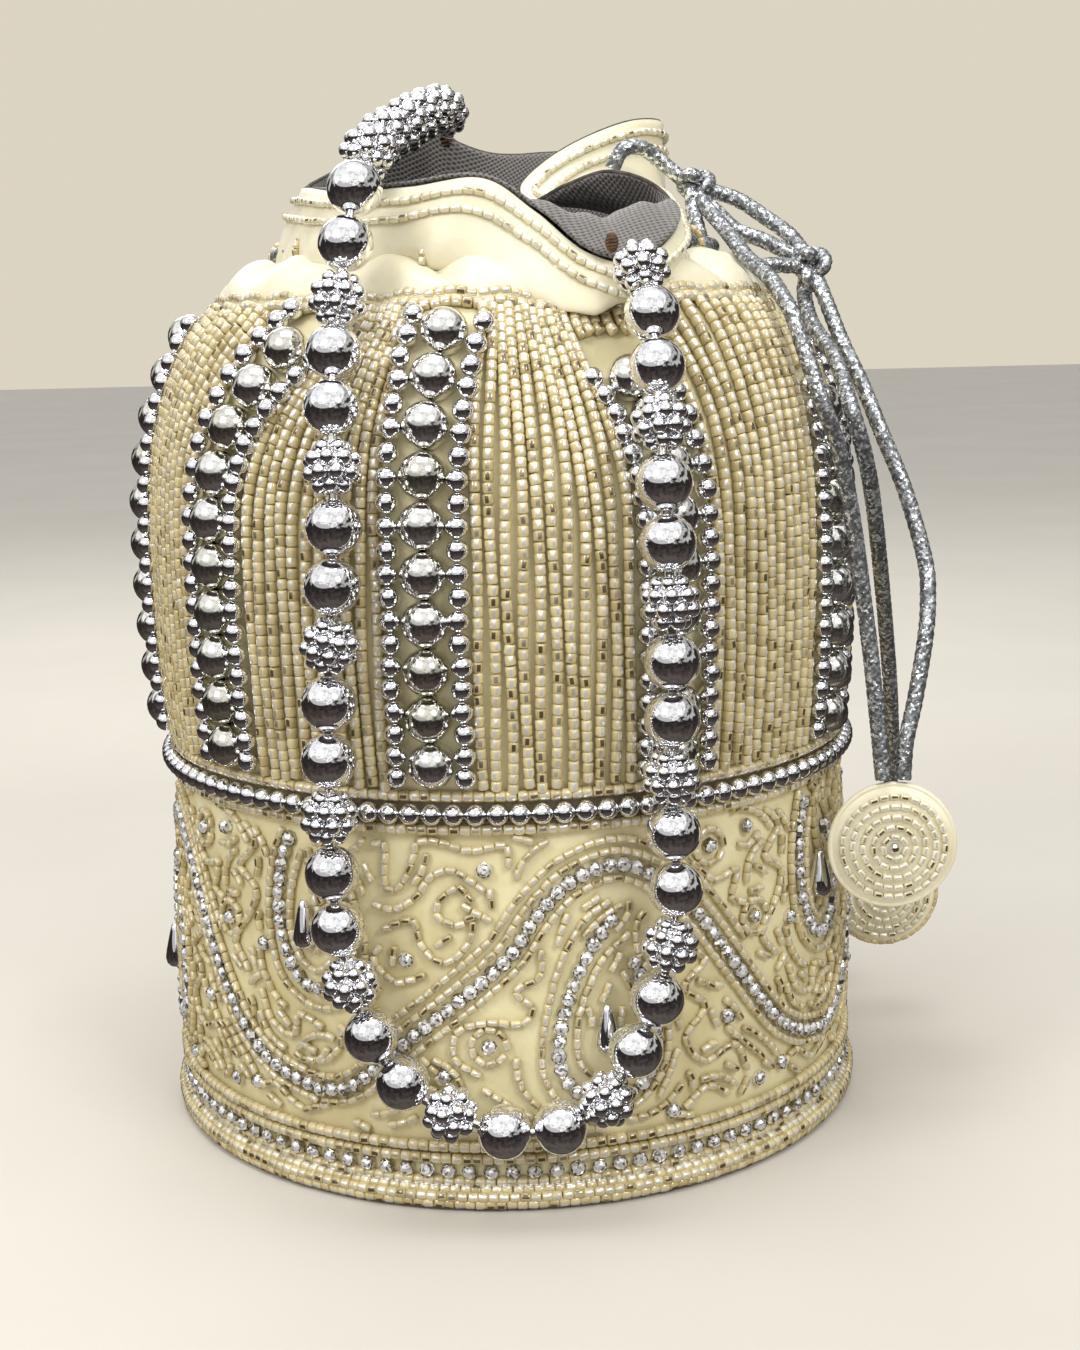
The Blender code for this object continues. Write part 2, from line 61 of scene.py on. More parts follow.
def make_camera():
    """A phone-like view from the front, a little above, tipped slightly about its own axis."""
    data = bpy.data.cameras.new("camera")
    data.sensor_fit = "HORIZONTAL"
    data.sensor_width = SENSOR
    data.lens = LENS
    camera = bpy.data.objects.new("camera", data)
    bpy.context.scene.collection.objects.link(camera)
    ahead = Vector((0, math.cos(PITCH), -math.sin(PITCH)))
    level_right = Vector((1, 0, 0))
    level_up = level_right.cross(ahead)
    right = level_right * math.cos(ROLL) - level_up * math.sin(ROLL)
    up = level_right * math.sin(ROLL) + level_up * math.cos(ROLL)
    turn = Matrix((right, up, -ahead)).transposed().to_4x4()
    camera.matrix_world = Matrix.Translation(Vector(EYE) * MM) @ turn
    bpy.context.scene.camera = camera


make_camera()


# ---------------------------------------------------------------- materials

class Nodes:
    """Short calls for building a node material."""

    def __init__(self, name):
        self.material = bpy.data.materials.new(name)
        self.material.use_nodes = True
        self.tree = self.material.node_tree
        self.shader = self.tree.nodes["Principled BSDF"]
        self.where = self.tree.nodes.new("ShaderNodeTexCoord").outputs["Object"]

    def add(self, kind, **inputs):
        node = self.tree.nodes.new(kind)
        for key, value in inputs.items():
            socket = node.inputs[key.replace("_", " ")]
            if isinstance(value, bpy.types.NodeSocket):
                self.tree.links.new(value, socket)
            else:
                socket.default_value = value
        return node

    def link(self, source, target):
        self.tree.links.new(source, target)

    def set(self, **values):
        for key, value in values.items():
            socket = self.shader.inputs[key.replace("_", " ")]
            if isinstance(value, bpy.types.NodeSocket):
                self.link(value, socket)
            else:
                socket.default_value = value

    def noise(self, scale, detail=3.0):
        return self.add("ShaderNodeTexNoise", Vector=self.where, Scale=scale, Detail=detail,
                        Roughness=0.55).outputs["Fac"]

    def ramp(self, value, *stops):
        node = self.add("ShaderNodeValToRGB", Fac=value)
        marks = node.color_ramp.elements
        while len(marks) < len(stops):
            marks.new(0.5)
        for mark, (at, colour) in zip(marks, stops):
            mark.position = at
            mark.color = (*colour, 1)
        return node.outputs["Color"]

    def island(self):
        """A random number for each separate bead."""
        return self.tree.nodes.new("ShaderNodeNewGeometry").outputs["Random Per Island"]

    def levels(self, value, low, high):
        node = self.add("ShaderNodeMapRange", Value=value)
        node.inputs["To Min"].default_value = low
        node.inputs["To Max"].default_value = high
        return node.outputs["Result"]

    def weave(self, per_metre, turn=0.0):
        """Two crossed sets of threads as a height."""
        mapped = self.add("ShaderNodeMapping", Vector=self.where)
        mapped.inputs["Rotation"].default_value = (turn, turn, turn)
        heights = []
        for direction in ("X", "Z"):
            wave = self.add("ShaderNodeTexWave", Vector=mapped.outputs["Vector"], Scale=per_metre, Distortion=1.2,
                            Detail=1.0)
            wave.bands_direction = direction
            heights.append(wave.outputs["Fac"])
        joined = self.add("ShaderNodeMath")
        joined.operation = "ADD"
        self.link(heights[0], joined.inputs[0])
        self.link(heights[1], joined.inputs[1])
        return joined.outputs["Value"]

    def bump(self, height, strength, distance, under=None):
        node = self.add("ShaderNodeBump", Height=height, Strength=strength, Distance=distance)
        if under is not None:
            self.link(under, node.inputs["Normal"])
        return node.outputs["Normal"]


def satin(name, light, shade, gloss=0.34):
    """Smooth cream satin: soft mottling, fine slub lines and small puckers."""
    n = Nodes(name)
    n.set(Base_Color=n.ramp(n.noise(45, 4), (0.3, shade), (0.7, light)),
          Roughness=n.levels(n.noise(160), gloss - 0.07, gloss + 0.14))
    weave = n.bump(n.weave(1500), 0.2, 0.00004)
    n.set(Normal=n.bump(n.noise(260, 3), 0.35, 0.0005, weave))
    n.set(Sheen_Weight=0.35, Sheen_Roughness=0.35, Specular_IOR_Level=0.6, Coat_Weight=0.12, Coat_Roughness=0.3)
    return n.material


def glass(name, light, shade):
    """Champagne glass of the seed beads: each bead its own tone."""
    n = Nodes(name)
    n.set(Base_Color=n.ramp(n.island(), (0.0, shade), (0.8, light), (1.0, light)),
          Roughness=n.levels(n.noise(900), 0.08, 0.24))
    n.set(Specular_IOR_Level=0.8, Coat_Weight=0.7, Coat_Roughness=0.05, Subsurface_Weight=0.15,
          Subsurface_Radius=(0.6, 0.5, 0.3), Subsurface_Scale=0.001)
    return n.material


def silver_core(name):
    """The silvered bore seen through a seed bead, its reflection painted in: most beads get a bright dash of painted
    highlight, some a dark dash of painted dark reflection.
    """
    n = Nodes(name)
    # Painted reflection: each bead's colour is drawn at random, from a dark painted reflection to a near-white painted
    # highlight, over the lining's own silver.
    n.set(Base_Color=n.ramp(n.island(), (0.12, (0.16, 0.12, 0.07)), (0.3, (0.7, 0.66, 0.55)),
                            (0.45, (1.0, 0.99, 0.94))),
          Roughness=n.levels(n.noise(1100), 0.12, 0.34), Metallic=0.55)
    n.set(Specular_IOR_Level=0.9, Coat_Weight=0.8, Coat_Roughness=0.05)
    return n.material


def metal(name, colour, dark, low, high, scale):
    """Polished plating with faint smudges, and a trace of dull tarnish."""
    n = Nodes(name)
    tone = n.ramp(n.island(), (0.0, dark), (0.45, colour), (1.0, colour))
    patch = n.levels(n.noise(scale, 4), low, high)
    n.set(Base_Color=tone, Roughness=patch, Metallic=1.0, Normal=n.bump(n.noise(scale * 3), 0.12, 0.00008))
    return n.material


def crystal(name):
    """Foil-backed cut stones: flat facets, with bright and dark flashes painted into the colour by fine noise."""
    n = Nodes(name)
    painted_sparkle = n.noise(1400, 1)
    # Painted sparkle: noise lays near-white painted glints and dark painted flashes across the stones; the white is
    # partly the foil's own colour.
    n.set(Base_Color=n.ramp(painted_sparkle, (0.38, (0.2, 0.19, 0.18)), (0.46, (0.92, 0.92, 0.92)), (0.6, (1, 1, 1))),
          Roughness=n.levels(n.island(), 0.02, 0.14), Metallic=0.5)
    n.set(Coat_Weight=1.0, Coat_Roughness=0.02, Specular_IOR_Level=1.0)
    return n.material


def lining_cloth(name, light, shade):
    """Plain-woven taupe lining with a visible thread grid; its colour follows the weave's height, with painted shade
    in the hollows between threads, so the raised threads read lighter.
    """
    n = Nodes(name)
    weave = n.weave(400, 0.5)
    # Painted shade: the low parts of the weave are coloured near black and the raised threads lighter.
    n.set(Base_Color=n.ramp(weave, (0.25, shade), (0.95, light)), Roughness=0.62)
    n.set(Normal=n.bump(weave, 0.55, 0.00025, n.bump(n.noise(500), 0.3, 0.0002)), Sheen_Weight=0.5)
    return n.material


def braid_metal(name):
    """Silver-grey lurex yarn: bright flecks between matt grey fibres."""
    n = Nodes(name)
    fleck = n.add("ShaderNodeTexVoronoi", Vector=n.where, Scale=1700.0).outputs["Color"]
    split = n.add("ShaderNodeSeparateColor", Color=fleck).outputs["Red"]
    n.set(Base_Color=n.ramp(split, (0.15, (0.15, 0.155, 0.16)), (0.6, (0.36, 0.375, 0.39)), (0.9, (0.86, 0.88, 0.9))),
          Roughness=n.levels(split, 0.5, 0.18), Metallic=0.8, Normal=n.bump(n.noise(1500, 2), 0.7, 0.0003))
    return n.material


def matt(name, light, shade, scale, roughness=0.85, height=0.0005):
    n = Nodes(name)
    n.set(Base_Color=n.ramp(n.noise(scale, 5), (0.3, shade), (0.7, light)), Roughness=roughness,
          Normal=n.bump(n.noise(scale * 6, 4), 0.5, height))
    return n.material


SATIN = satin("satin_cream", (0.88, 0.84, 0.66), (0.74, 0.68, 0.48))
GROUND = satin("bead_ground", (0.8, 0.74, 0.48), (0.62, 0.54, 0.3), 0.5)
BAND_GROUND = satin("band_satin", (0.84, 0.78, 0.5), (0.62, 0.53, 0.28), 0.4)
GLASS = glass("champagne_glass", (0.68, 0.58, 0.33), (0.46, 0.37, 0.18))
PALE_GLASS = glass("pale_glass", (0.84, 0.79, 0.6), (0.66, 0.6, 0.4))
CORE = silver_core("silver_lining_painted_glint")
MIRROR = metal("mirror_silver", (0.88, 0.88, 0.9), (0.8, 0.8, 0.82), 0.03, 0.1, 120)
PEARLED = metal("dome_silver", (0.84, 0.83, 0.8), (0.7, 0.68, 0.58), 0.06, 0.2, 240)
CRYSTAL = crystal("foiled_crystal")
CUP = metal("crystal_cup", (0.8, 0.78, 0.72), (0.45, 0.42, 0.36), 0.15, 0.3, 500)
LINING = lining_cloth("taupe_lining", (0.16, 0.145, 0.132), (0.018, 0.016, 0.014))
PIPING = matt("dark_piping", (0.12, 0.1, 0.08), (0.03, 0.025, 0.02), 500)
BRAID = braid_metal("lurex_braid")
THREAD = matt("brown_thread", (0.2, 0.11, 0.05), (0.06, 0.03, 0.015), 700)
BOARD = matt("grey_board", (0.55, 0.47, 0.35), (0.42, 0.35, 0.25), 120)


# ---------------------------------------------------------------- meshes

def build(name, points, groups, materials, body, smooth=True):
    """A mesh object from points in millimetres; groups is a list of (faces of one size, material numbers)."""
    mesh = bpy.data.meshes.new(name)
    points = np.asarray(points, float)
    mesh.vertices.add(len(points))
    mesh.vertices.foreach_set("co", (points * MM).ravel())
    corners = np.concatenate([faces.ravel() for faces, _ in groups])
    sizes = np.concatenate([np.full(len(faces), faces.shape[1]) for faces, _ in groups])
    marks = np.concatenate([marks for _, marks in groups])
    mesh.loops.add(len(corners))
    mesh.loops.foreach_set("vertex_index", corners.astype(np.int32))
    mesh.polygons.add(len(sizes))
    starts = np.concatenate([[0], np.cumsum(sizes)[:-1]])
    mesh.polygons.foreach_set("loop_start", starts.astype(np.int32))
    mesh.polygons.foreach_set("material_index", marks.astype(np.int32))
    mesh.polygons.foreach_set("use_smooth", np.full(len(sizes), smooth))
    mesh.update(calc_edges=True)
    mesh.validate()
    for material in materials:
        mesh.materials.append(material)
    item = bpy.data.objects.new(name, mesh)
    bpy.context.scene.collection.objects.link(item)
    if body is not None:
        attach(item, body)
    return item


class Pattern:
    """A small shape to copy: points, faces by size, and each face's material number."""

    def __init__(self, points, faces, marks=None):
        self.points = np.asarray(points, float)
        marks = marks or [0] * len(faces)
        self.groups = []
        for size in sorted({len(f) for f in faces}):
            chosen = [i for i, f in enumerate(faces) if len(f) == size]
            self.groups.append((np.array([faces[i] for i in chosen]), np.array([marks[i] for i in chosen])))


def copies(pattern, frames, centres):
    """Points and face groups of the pattern placed at every frame; a frame's columns are its own three axes."""
    count, size = len(centres), len(pattern.points)
    points = np.einsum("kij,nj->kni", frames, pattern.points) + centres[:, None, :]
    shift = (np.arange(count) * size)[:, None, None]
    groups = [((faces[None] + shift).reshape(-1, faces.shape[1]), np.tile(marks, count))
              for faces, marks in pattern.groups]
    return points.reshape(-1, 3), groups


def place_all(name, pattern, frames, centres, materials, body, smooth=True):
    points, groups = copies(pattern, np.asarray(frames), np.asarray(centres))
    return build(name, points, groups, materials, body, smooth)


def lathe_pattern(outline, sides, marks=None):
    """A solid turned about X from (along, radius) pairs. marks(band, side) gives a face's material."""
    points, faces, numbers = [], [], []
    for along, radius in outline:
        for k in range(sides):
            turn = 2 * math.pi * (k + 0.5) / sides
            points.append((along, -radius * math.sin(turn), radius * math.cos(turn)))
    for band in range(len(outline) - 1):
        for k in range(sides):
            m = (k + 1) % sides
            faces.append((band * sides + k, band * sides + m, (band + 1) * sides + m, (band + 1) * sides + k)[::-1])
            numbers.append(marks(band, k) if marks else 0)
    faces.append(tuple(range(sides)))
    faces.append(tuple(reversed(range((len(outline) - 1) * sides, len(outline) * sides))))
    numbers += [0, 0]
    return Pattern(points, [f[::-1] for f in faces], numbers)


def ball_pattern(radius, sides, rings):
    """A sphere whose poles lie on X."""
    points = [(-radius, 0, 0)]
    for i in range(1, rings):
        tilt = math.pi * i / rings
        for k in range(sides):
            turn = 2 * math.pi * k / sides
            points.append((-radius * math.cos(tilt), radius * math.sin(tilt) * math.cos(turn),
                           radius * math.sin(tilt) * math.sin(turn)))
    points.append((radius, 0, 0))
    last = len(points) - 1
    faces = []
    for k in range(sides):
        m = (k + 1) % sides
        faces.append((0, 1 + m, 1 + k))
        faces.append((last, last - sides + k, last - sides + m))
        for i in range(rings - 2):
            a = 1 + i * sides
            faces.append((a + k, a + m, a + sides + m, a + sides + k))
    return Pattern(points, faces)


SEED_LENGTH = 1.98
SEED_RADIUS = 1.08
SEED_PITCH = 2.04


def seed_pattern(length=SEED_LENGTH, radius=SEED_RADIUS, sides=9):
    """A cut glass tube whose facet away from the cloth shows its silver lining."""
    outline = [(-0.5 * length, 0.84 * radius), (-0.34 * length, radius), (0.34 * length, radius),
               (0.5 * length, 0.84 * radius)]
    return lathe_pattern(outline, sides, lambda band, side: 1 if band == 1 and side == sides - 1 else 0)


SEED = seed_pattern()
FINE_SEED = seed_pattern(2.05, 0.76)
LIP_SEED = seed_pattern(1.9, 0.74)
BALL_4 = ball_pattern(2.12, 14, 9)
BALL_8 = ball_pattern(4.5, 24, 15)
BALL_10 = ball_pattern(5.2, 32, 20)
GRAIN = ball_pattern(1.5, 12, 8)


def stone_pattern(radius):
    """A round brilliant in a shallow cup, its table along Z."""
    sides = 8
    tiers = [(1.12, -0.5, 0.0), (1.12, 0.25, 0.0), (0.98, 0.3, 0.5), (0.78, 0.62, 0.0), (0.46, 0.85, 0.5)]
    points, faces, marks = [], [], []
    for spread, height, twist in tiers:
        for k in range(sides):
            turn = 2 * math.pi * (k + twist) / sides
            points.append((spread * radius * math.cos(turn), spread * radius * math.sin(turn), height * radius))
    for tier in range(len(tiers) - 1):
        for k in range(sides):
            m = (k + 1) % sides
            a, b = tier * sides, (tier + 1) * sides
            cup = 1 if tier < 2 else 0
            if tiers[tier][2] == tiers[tier + 1][2]:
                faces.append((a + k, a + m, b + m, b + k))
                marks.append(cup)
            elif tiers[tier + 1][2]:
                faces += [(a + k, a + m, b + k), (a + m, b + m, b + k)]
                marks += [cup, cup]
            else:
                faces += [(a + k, b + m, b + k), (a + k, a + m, b + m)]
                marks += [cup, cup]
    faces.append(tuple(range((len(tiers) - 1) * sides, len(tiers) * sides)))
    faces.append(tuple(reversed(range(sides))))
    marks += [0, 1]
    return Pattern(points, faces, marks)


STONE = stone_pattern(1.4)


def unit(v):
    return v / np.maximum(np.linalg.norm(v, axis=-1, keepdims=True), 1e-12)


def axes(along, out):
    """Frames whose X runs along and whose Z points out."""
    along = unit(along)
    side = unit(np.cross(out, along))
    return np.stack([along, side, np.cross(along, side)], axis=-1)


def upright(out):
    """Frames whose X runs straight up and whose Z points out."""
    return axes(np.tile([[0, 0, 1.0]], (len(out), 1)), out)


def shaken(frames, amount):
    """The same frames, each turned a little at random, as hand-sewn beads lie."""
    out = []
    for f, a in zip(frames, RNG.normal(0, amount, (len(frames), 3))):
        spin = np.array(Matrix.Rotation(a[0] * 2.2, 3, "X") @ Matrix.Rotation(a[1], 3, "Y")
                        @ Matrix.Rotation(a[2], 3, "Z"))
        out.append(f @ spin)
    return np.array(out)


def smooth_line(route, steps=14, closed=False):
    """A fine smooth curve through the points of a route."""
    route = np.asarray(route, float)
    if closed:
        knots = np.vstack([route[-1:], route, route[:2]])
    else:
        knots = np.vstack([2 * route[0] - route[1], route, 2 * route[-1] - route[-2]])
    t = (np.arange(steps) / steps)[:, None]
    pieces = []
    for a, b, c, d in zip(knots, knots[1:], knots[2:], knots[3:]):
        pieces.append(0.5 * (2 * b + (c - a) * t + (2 * a - 5 * b + 4 * c - d) * t * t
                             + (3 * b - a - 3 * c + d) * t ** 3))
    if not closed:
        pieces.append(knots[-2:-1])
    return np.vstack(pieces)


def spaced(line, pitch, closed=False):
    """Evenly spaced points along a fine line, about pitch apart."""
    if closed:
        line = np.vstack([line, line[:1]])
    run = run_along(line)
    count = max(1, round(run[-1] / pitch))
    if closed:
        at = (np.arange(count) + 0.5) * run[-1] / count
    else:
        at = np.linspace(0, run[-1], count + 1)
    return points_at(line, run, at)


def run_along(line):
    """Distance from the start of a line to each of its points."""
    return np.concatenate([[0], np.cumsum(np.linalg.norm(np.diff(line, axis=0), axis=1))])


def points_at(line, run, at):
    return np.stack([np.interp(at, run, line[:, k]) for k in range(line.shape[1])], axis=1)


def circle(steps):
    """Evenly spaced angles once round."""
    return np.linspace(0, 2 * np.pi, steps + 1)[:-1]


def directions(points, closed=False):
    if closed:
        return np.roll(points, -1, axis=0) - np.roll(points, 1, axis=0)
    return np.gradient(points, axis=0)


# ---------------------------------------------------------------- the bag's skin

LOWER_WALL = [(5.2, 74.2), (18, 74.8), (34, 75.0), (57, 74.0), (77, 72.9), (79, 72.85)]
UPPER_WALL = [(79, 72.85), (81, 72.9), (95, 74.1), (110, 74.8), (126, 74.8), (140, 74.0), (150, 72.2), (158, 69.6),
              (165, 66.4), (170, 63.2), (173, 60.0)]
CREASES = [(18, 5.0, 12), (-28, 2.5, 11), (78, 2.5, 14), (116, 2.8, 13), (176, 2.5, 13), (-136, 2.8, 13),
           (-98, 2.2, 14)]
CREASE_FOOT, CREASE_HEAD = 128.0, 170.0
CREASE_INNER, CREASE_OUTER = 44.0, 58.0
CREASE_DROP = 0.35
PROFILE = smooth_line([(r, z) for z, r in LOWER_WALL[:-1] + UPPER_WALL[1:]], 10)


def creased(p):
    """The shoulder's soft creases drawn into points."""
    p = np.asarray(p, float)
    radius = np.hypot(p[..., 0], p[..., 1])
    rise = np.clip((p[..., 2] - CREASE_FOOT) / (CREASE_HEAD - CREASE_FOOT), 0, 1)
    reach = np.clip((radius - CREASE_INNER) / (CREASE_OUTER - CREASE_INNER), 0, 1)
    bearing = np.degrees(np.arctan2(p[..., 0], -p[..., 1]))
    inward = sum(depth * np.exp(-(((bearing - at + 180) % 360 - 180) / width) ** 2) for at, depth, width in CREASES)
    inward = inward * rise * rise * (3 - 2 * rise) * reach
    shrink = 1 - inward / np.maximum(radius, 1)
    return np.stack([p[..., 0] * shrink, p[..., 1] * shrink, p[..., 2] - CREASE_DROP * inward], axis=-1)


def wall_radius(z):
    return np.interp(z, PROFILE[:, 1], PROFILE[:, 0])


def on_wall(bearing, z):
    """Points of the skin at bearings in degrees from the front, and heights."""
    b = np.radians(bearing)
    r = wall_radius(z)
    return creased(np.stack([r * np.sin(b), -r * np.cos(b), np.broadcast_to(z, r.shape)], axis=-1))


def wall_out(bearing, z):
    """Outward direction of the skin."""
    round_it = on_wall(bearing + 0.4, z) - on_wall(bearing - 0.4, z)
    up = on_wall(bearing, np.minimum(z + 0.6, 173)) - on_wall(bearing, z - 0.6)
    return unit(np.cross(round_it, up))


def turned_skin(name, outline, material, steps=220, ripple=None):
    """A closed sheet turned about Z from (radius, height) pairs, in order round its section."""
    outline = np.asarray(outline, float)
    angle = 2 * np.pi * np.arange(steps) / steps
    r, z = outline[None, :, 0], outline[None, :, 1]
    points = np.stack([r * np.cos(angle)[:, None], r * np.sin(angle)[:, None], z + 0 * angle[:, None]], axis=-1)
    if ripple is not None:
        points = ripple(points)
    return grid(name, creased(points), material, "bag")


def grid(name, points, material, body, flip=False):
    """Faces over a ring of closed sections."""
    rows, size = points.shape[:2]
    i, k = np.meshgrid(np.arange(rows), np.arange(size), indexing="ij")
    j, m = (i + 1) % rows, (k + 1) % size
    faces = np.stack([i * size + k, j * size + k, j * size + m, i * size + m], axis=-1).reshape(-1, 4)
    if flip:
        faces = faces[:, ::-1]
    return build(name, points.reshape(-1, 3), [(faces, np.zeros(len(faces), int))], [material], body)


def wall_section(low, high, thickness):
    z = np.linspace(low, high, 40)
    r = wall_radius(z)
    return np.concatenate([np.stack([r, z], 1), np.stack([r - thickness, z], 1)[::-1]])


lower = turned_skin("band_shell", wall_section(5.2, 77, 1.0), BAND_GROUND)
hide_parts("lower_band")
upper = turned_skin("body_shell", wall_section(81, 173, 1.0), GROUND)
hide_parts("upper_body")


def seeds(name, strings, body="bag", pattern=SEED, jitter=0.05, pitch=SEED_PITCH, tone=GLASS):
    """Strings of seed beads. Each string is (points along it, outward directions, closed)."""
    frames, centres = [], []
    for line, out, closed in strings:
        run_line = np.hstack([line, out])
        if closed:
            run_line = np.vstack([run_line, run_line[:1]])
        run = run_along(run_line[:, :3])
        count = max(1, round(run[-1] / pitch))
        phase = RNG.uniform(0.1, 0.9)
        at = (np.arange(count) + phase) * run[-1] / count + RNG.normal(0, 0.05, count)
        here = points_at(run_line, run, at)
        ahead = points_at(run_line[:, :3], run, at + 0.5) - points_at(run_line[:, :3], run, at - 0.5)
        frames.append(axes(ahead, here[:, 3:]))
        centres.append(here[:, :3] + unit(here[:, 3:]) * RNG.normal(0, 0.04, (count, 1)))
    frames = shaken(np.concatenate(frames), jitter)
    return place_all(name, pattern, frames, np.concatenate(centres), [tone, CORE], body)


def wall_string(bearing, z, lift=SEED_RADIUS, closed=False):
    """A string laid on the skin along bearings and heights."""
    bearing, z = np.asarray(bearing, float), np.asarray(z, float)
    out = wall_out(bearing, z)
    return (on_wall(bearing, z) + out * lift, out, closed)


# Pillar columns: pitch along the wall, distance to the side, and lift off the wall.
DOME_COLUMN = (8.9, 0.0, 1.8)
SIDE_COLUMNS = ((4.24, -6.55, 2.2), (4.24, 6.55, 2.2))
COLUMN_FOOT, COLUMN_PAST_HEAD = 84.4, 3.4
ROW_FOOT, ROW_TOP = 83.6, 172.0
PILLARS = 10
FIRST_PILLAR = -10.0
PILLAR_STEP = 360 / PILLARS
PILLAR_HEADS = [168, 163, 154] + [168] * 7
ROWS = 11
ROW_STEP = 2.16
# Where the shoulder is pulled sideways: bearing, degrees of lean at the top, and how far round it reaches.
LEANS = [(-46, 11.0, 22), (-10, 2.0, 16), (26, -5.5, 20), (62, 4.0, 20), (170, 3.0, 22), (-118, -4.0, 22)]
LEAN_FOOT, LEAN_RUN = 130.0, 36.0


def leaned(bearing, z):
    """Bearings shifted by the sideways pull of the gathered top."""
    rise = np.clip((z - LEAN_FOOT) / LEAN_RUN, 0, 1.1) ** 2.4
    pull = sum(amount * np.exp(-(((bearing - at + 180) % 360 - 180) / width) ** 2) for at, amount, width in LEANS)
    return bearing + pull * rise


def body_rows():
    """Upright rows of seeds between the pillars, in five pieces, and short ones above the low pillars."""
    for fifth in range(5):
        strings = []
        for panel in (2 * fifth, 2 * fifth + 1):
            middle = FIRST_PILLAR + (panel + 0.5) * PILLAR_STEP
            for row in range(ROWS):
                z = np.linspace(ROW_FOOT, ROW_TOP, 60)
                sway = 0.22 * np.sin(z / 9.0 + row * 1.7 + panel)
                strings.append(wall_string(leaned(middle + (row - (ROWS - 1) / 2) * ROW_STEP + sway, z), z))
            z = np.linspace(PILLAR_HEADS[panel] + 5.0, ROW_TOP, 20)
            if z[-1] - z[0] > SEED_PITCH:
                head = FIRST_PILLAR + panel * PILLAR_STEP
                strings += [wall_string(leaned(head + row * ROW_STEP, z), z) for row in range(-2, 3)]
        seeds(f"seed_rows_{fifth + 1}", strings, jitter=0.07)


body_rows()


def pillar_beads():
    """Ten columns of large domes with a column of small beads on each side."""
    domes, dome_frames, small, small_frames = [], [], [], []
    for index in range(PILLARS):
        z = np.linspace(COLUMN_FOOT, PILLAR_HEADS[index] + COLUMN_PAST_HEAD, 160)
        bearing = leaned(FIRST_PILLAR + index * PILLAR_STEP + 0 * z, z)
        line = on_wall(bearing, z)
        out = wall_out(bearing, z)
        columns = [(*DOME_COLUMN, domes, dome_frames)] + [(*side, small, small_frames) for side in SIDE_COLUMNS]
        for pitch, across, lift, where, turns in columns:
            run = run_along(line)
            count = int(run[-1] / pitch)
            at = (np.arange(count) + 0.5) * pitch
            f = axes(points_at(line, run, at + 1) - points_at(line, run, at - 1), points_at(out, run, at))
            shift = RNG.normal(0, 0.13, (count, 1))
            where.append(points_at(line, run, at) - f[:, :, 1] * (across + shift) + f[:, :, 2] * lift)
            turns.append(f)
    big = place_all("pillar_domes", BALL_8, np.concatenate(dome_frames), np.concatenate(domes), [PEARLED], "bag")
    place_all("pillar_side_beads", BALL_4, np.concatenate(small_frames), np.concatenate(small), [MIRROR], "bag")
    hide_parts(*[f"pillar_{i + 1:02d}" for i in range(PILLARS)])


pillar_beads()

BELT_RADIUS, BELT_HEIGHT, BELT_PITCH = 75.0, 79.0, 4.17


def ring_line(radius, z, steps=360, drop=None):
    angle = 2 * np.pi * np.arange(steps) / steps
    height = z + (drop(np.degrees(angle)) if drop else 0 * angle)
    line = creased(np.stack([radius * np.cos(angle), radius * np.sin(angle), height], 1))
    out = np.stack([np.cos(angle), np.sin(angle), 0 * angle], 1)
    return line, out, True


def belt():
    line, _, _ = ring_line(BELT_RADIUS, BELT_HEIGHT)
    centres = spaced(line, BELT_PITCH, closed=True)
    out = unit(centres * [1, 1, 0])
    frames = axes(np.cross([[0, 0, 1.0]], out), out)
    item = place_all("belt_beads", BALL_4, frames, centres, [MIRROR], "bag")
    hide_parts("bead_belt")
    z = np.full(360, 82.4)
    turn = np.arange(360.0)
    seeds("belt_lines", [wall_string(turn, z, 1.0, True), wall_string(turn, z - 6.6, 1.0, True)])


belt()


# ---------------------------------------------------------------- embroidered band

MM_PER_DEGREE = 1.32
TILES = 4
TILE_STEP = 90.0
# Lines of one repeat, as (bearing, height) points.
WAVE = [(-30, 21.5), (-24, 23.6), (-15, 34), (-9, 40.4), (0, 50.6), (4, 58), (9, 64.6), (15, 67.6), (20, 66.4),
        (26, 61), (31, 53.4), (36, 44.4), (41, 35.6), (46, 28.6), (52, 24), (60, 21.5)]
LOW_LEAF = [(15, 60.5), (11.5, 57.5), (8, 50), (6, 42), (4.8, 34), (5, 26.6), (8, 20.6), (14, 18), (20, 20.4),
            (23.4, 27), (24, 35), (22, 43.6), (19.6, 50), (19.4, 55), (21, 58.6)]
LOW_LEAF_INNER = [(18, 53.8), (14, 49.4), (11.2, 42.4), (10, 36.3), (10.4, 29), (14.4, 24.8), (18.6, 28), (19.6, 36),
                  (18, 43.6), (16.8, 47)]
LOW_STONES = [(15.4, 57), (12.4, 52), (10.2, 46.8), (8.8, 42.4), (7.8, 38), (7.2, 33.6), (7.3, 29), (8.8, 24.6),
              (12, 21.6), (16, 21.2), (19.8, 23.6), (21.6, 28), (22, 33), (21.4, 38), (20.4, 43), (18.8, 48)]
HIGH_LEAF = [(-36, 74), (-38, 68), (-39.2, 60), (-39, 51.6), (-37, 44), (-33, 39.6), (-28, 38.6), (-23.4, 42),
             (-21.4, 49.6), (-22.4, 58), (-25, 65.6), (-27, 70), (-26, 74)]
HIGH_LEAF_INNER = [(-32.6, 69), (-34.4, 62), (-34.8, 54), (-32.6, 47.6), (-29.4, 46), (-26.6, 50), (-26.4, 57),
                   (-28.4, 63)]
HIGH_STONES = [(-34.8, 71.4), (-36.2, 67), (-36.8, 62.4), (-37, 57.4), (-36.6, 52.6), (-35.4, 48.2), (-33.2, 44),
               (-29.6, 42.2), (-26.2, 44), (-24.2, 48.4), (-23.8, 53.4), (-24.6, 58.4), (-26.6, 64)]
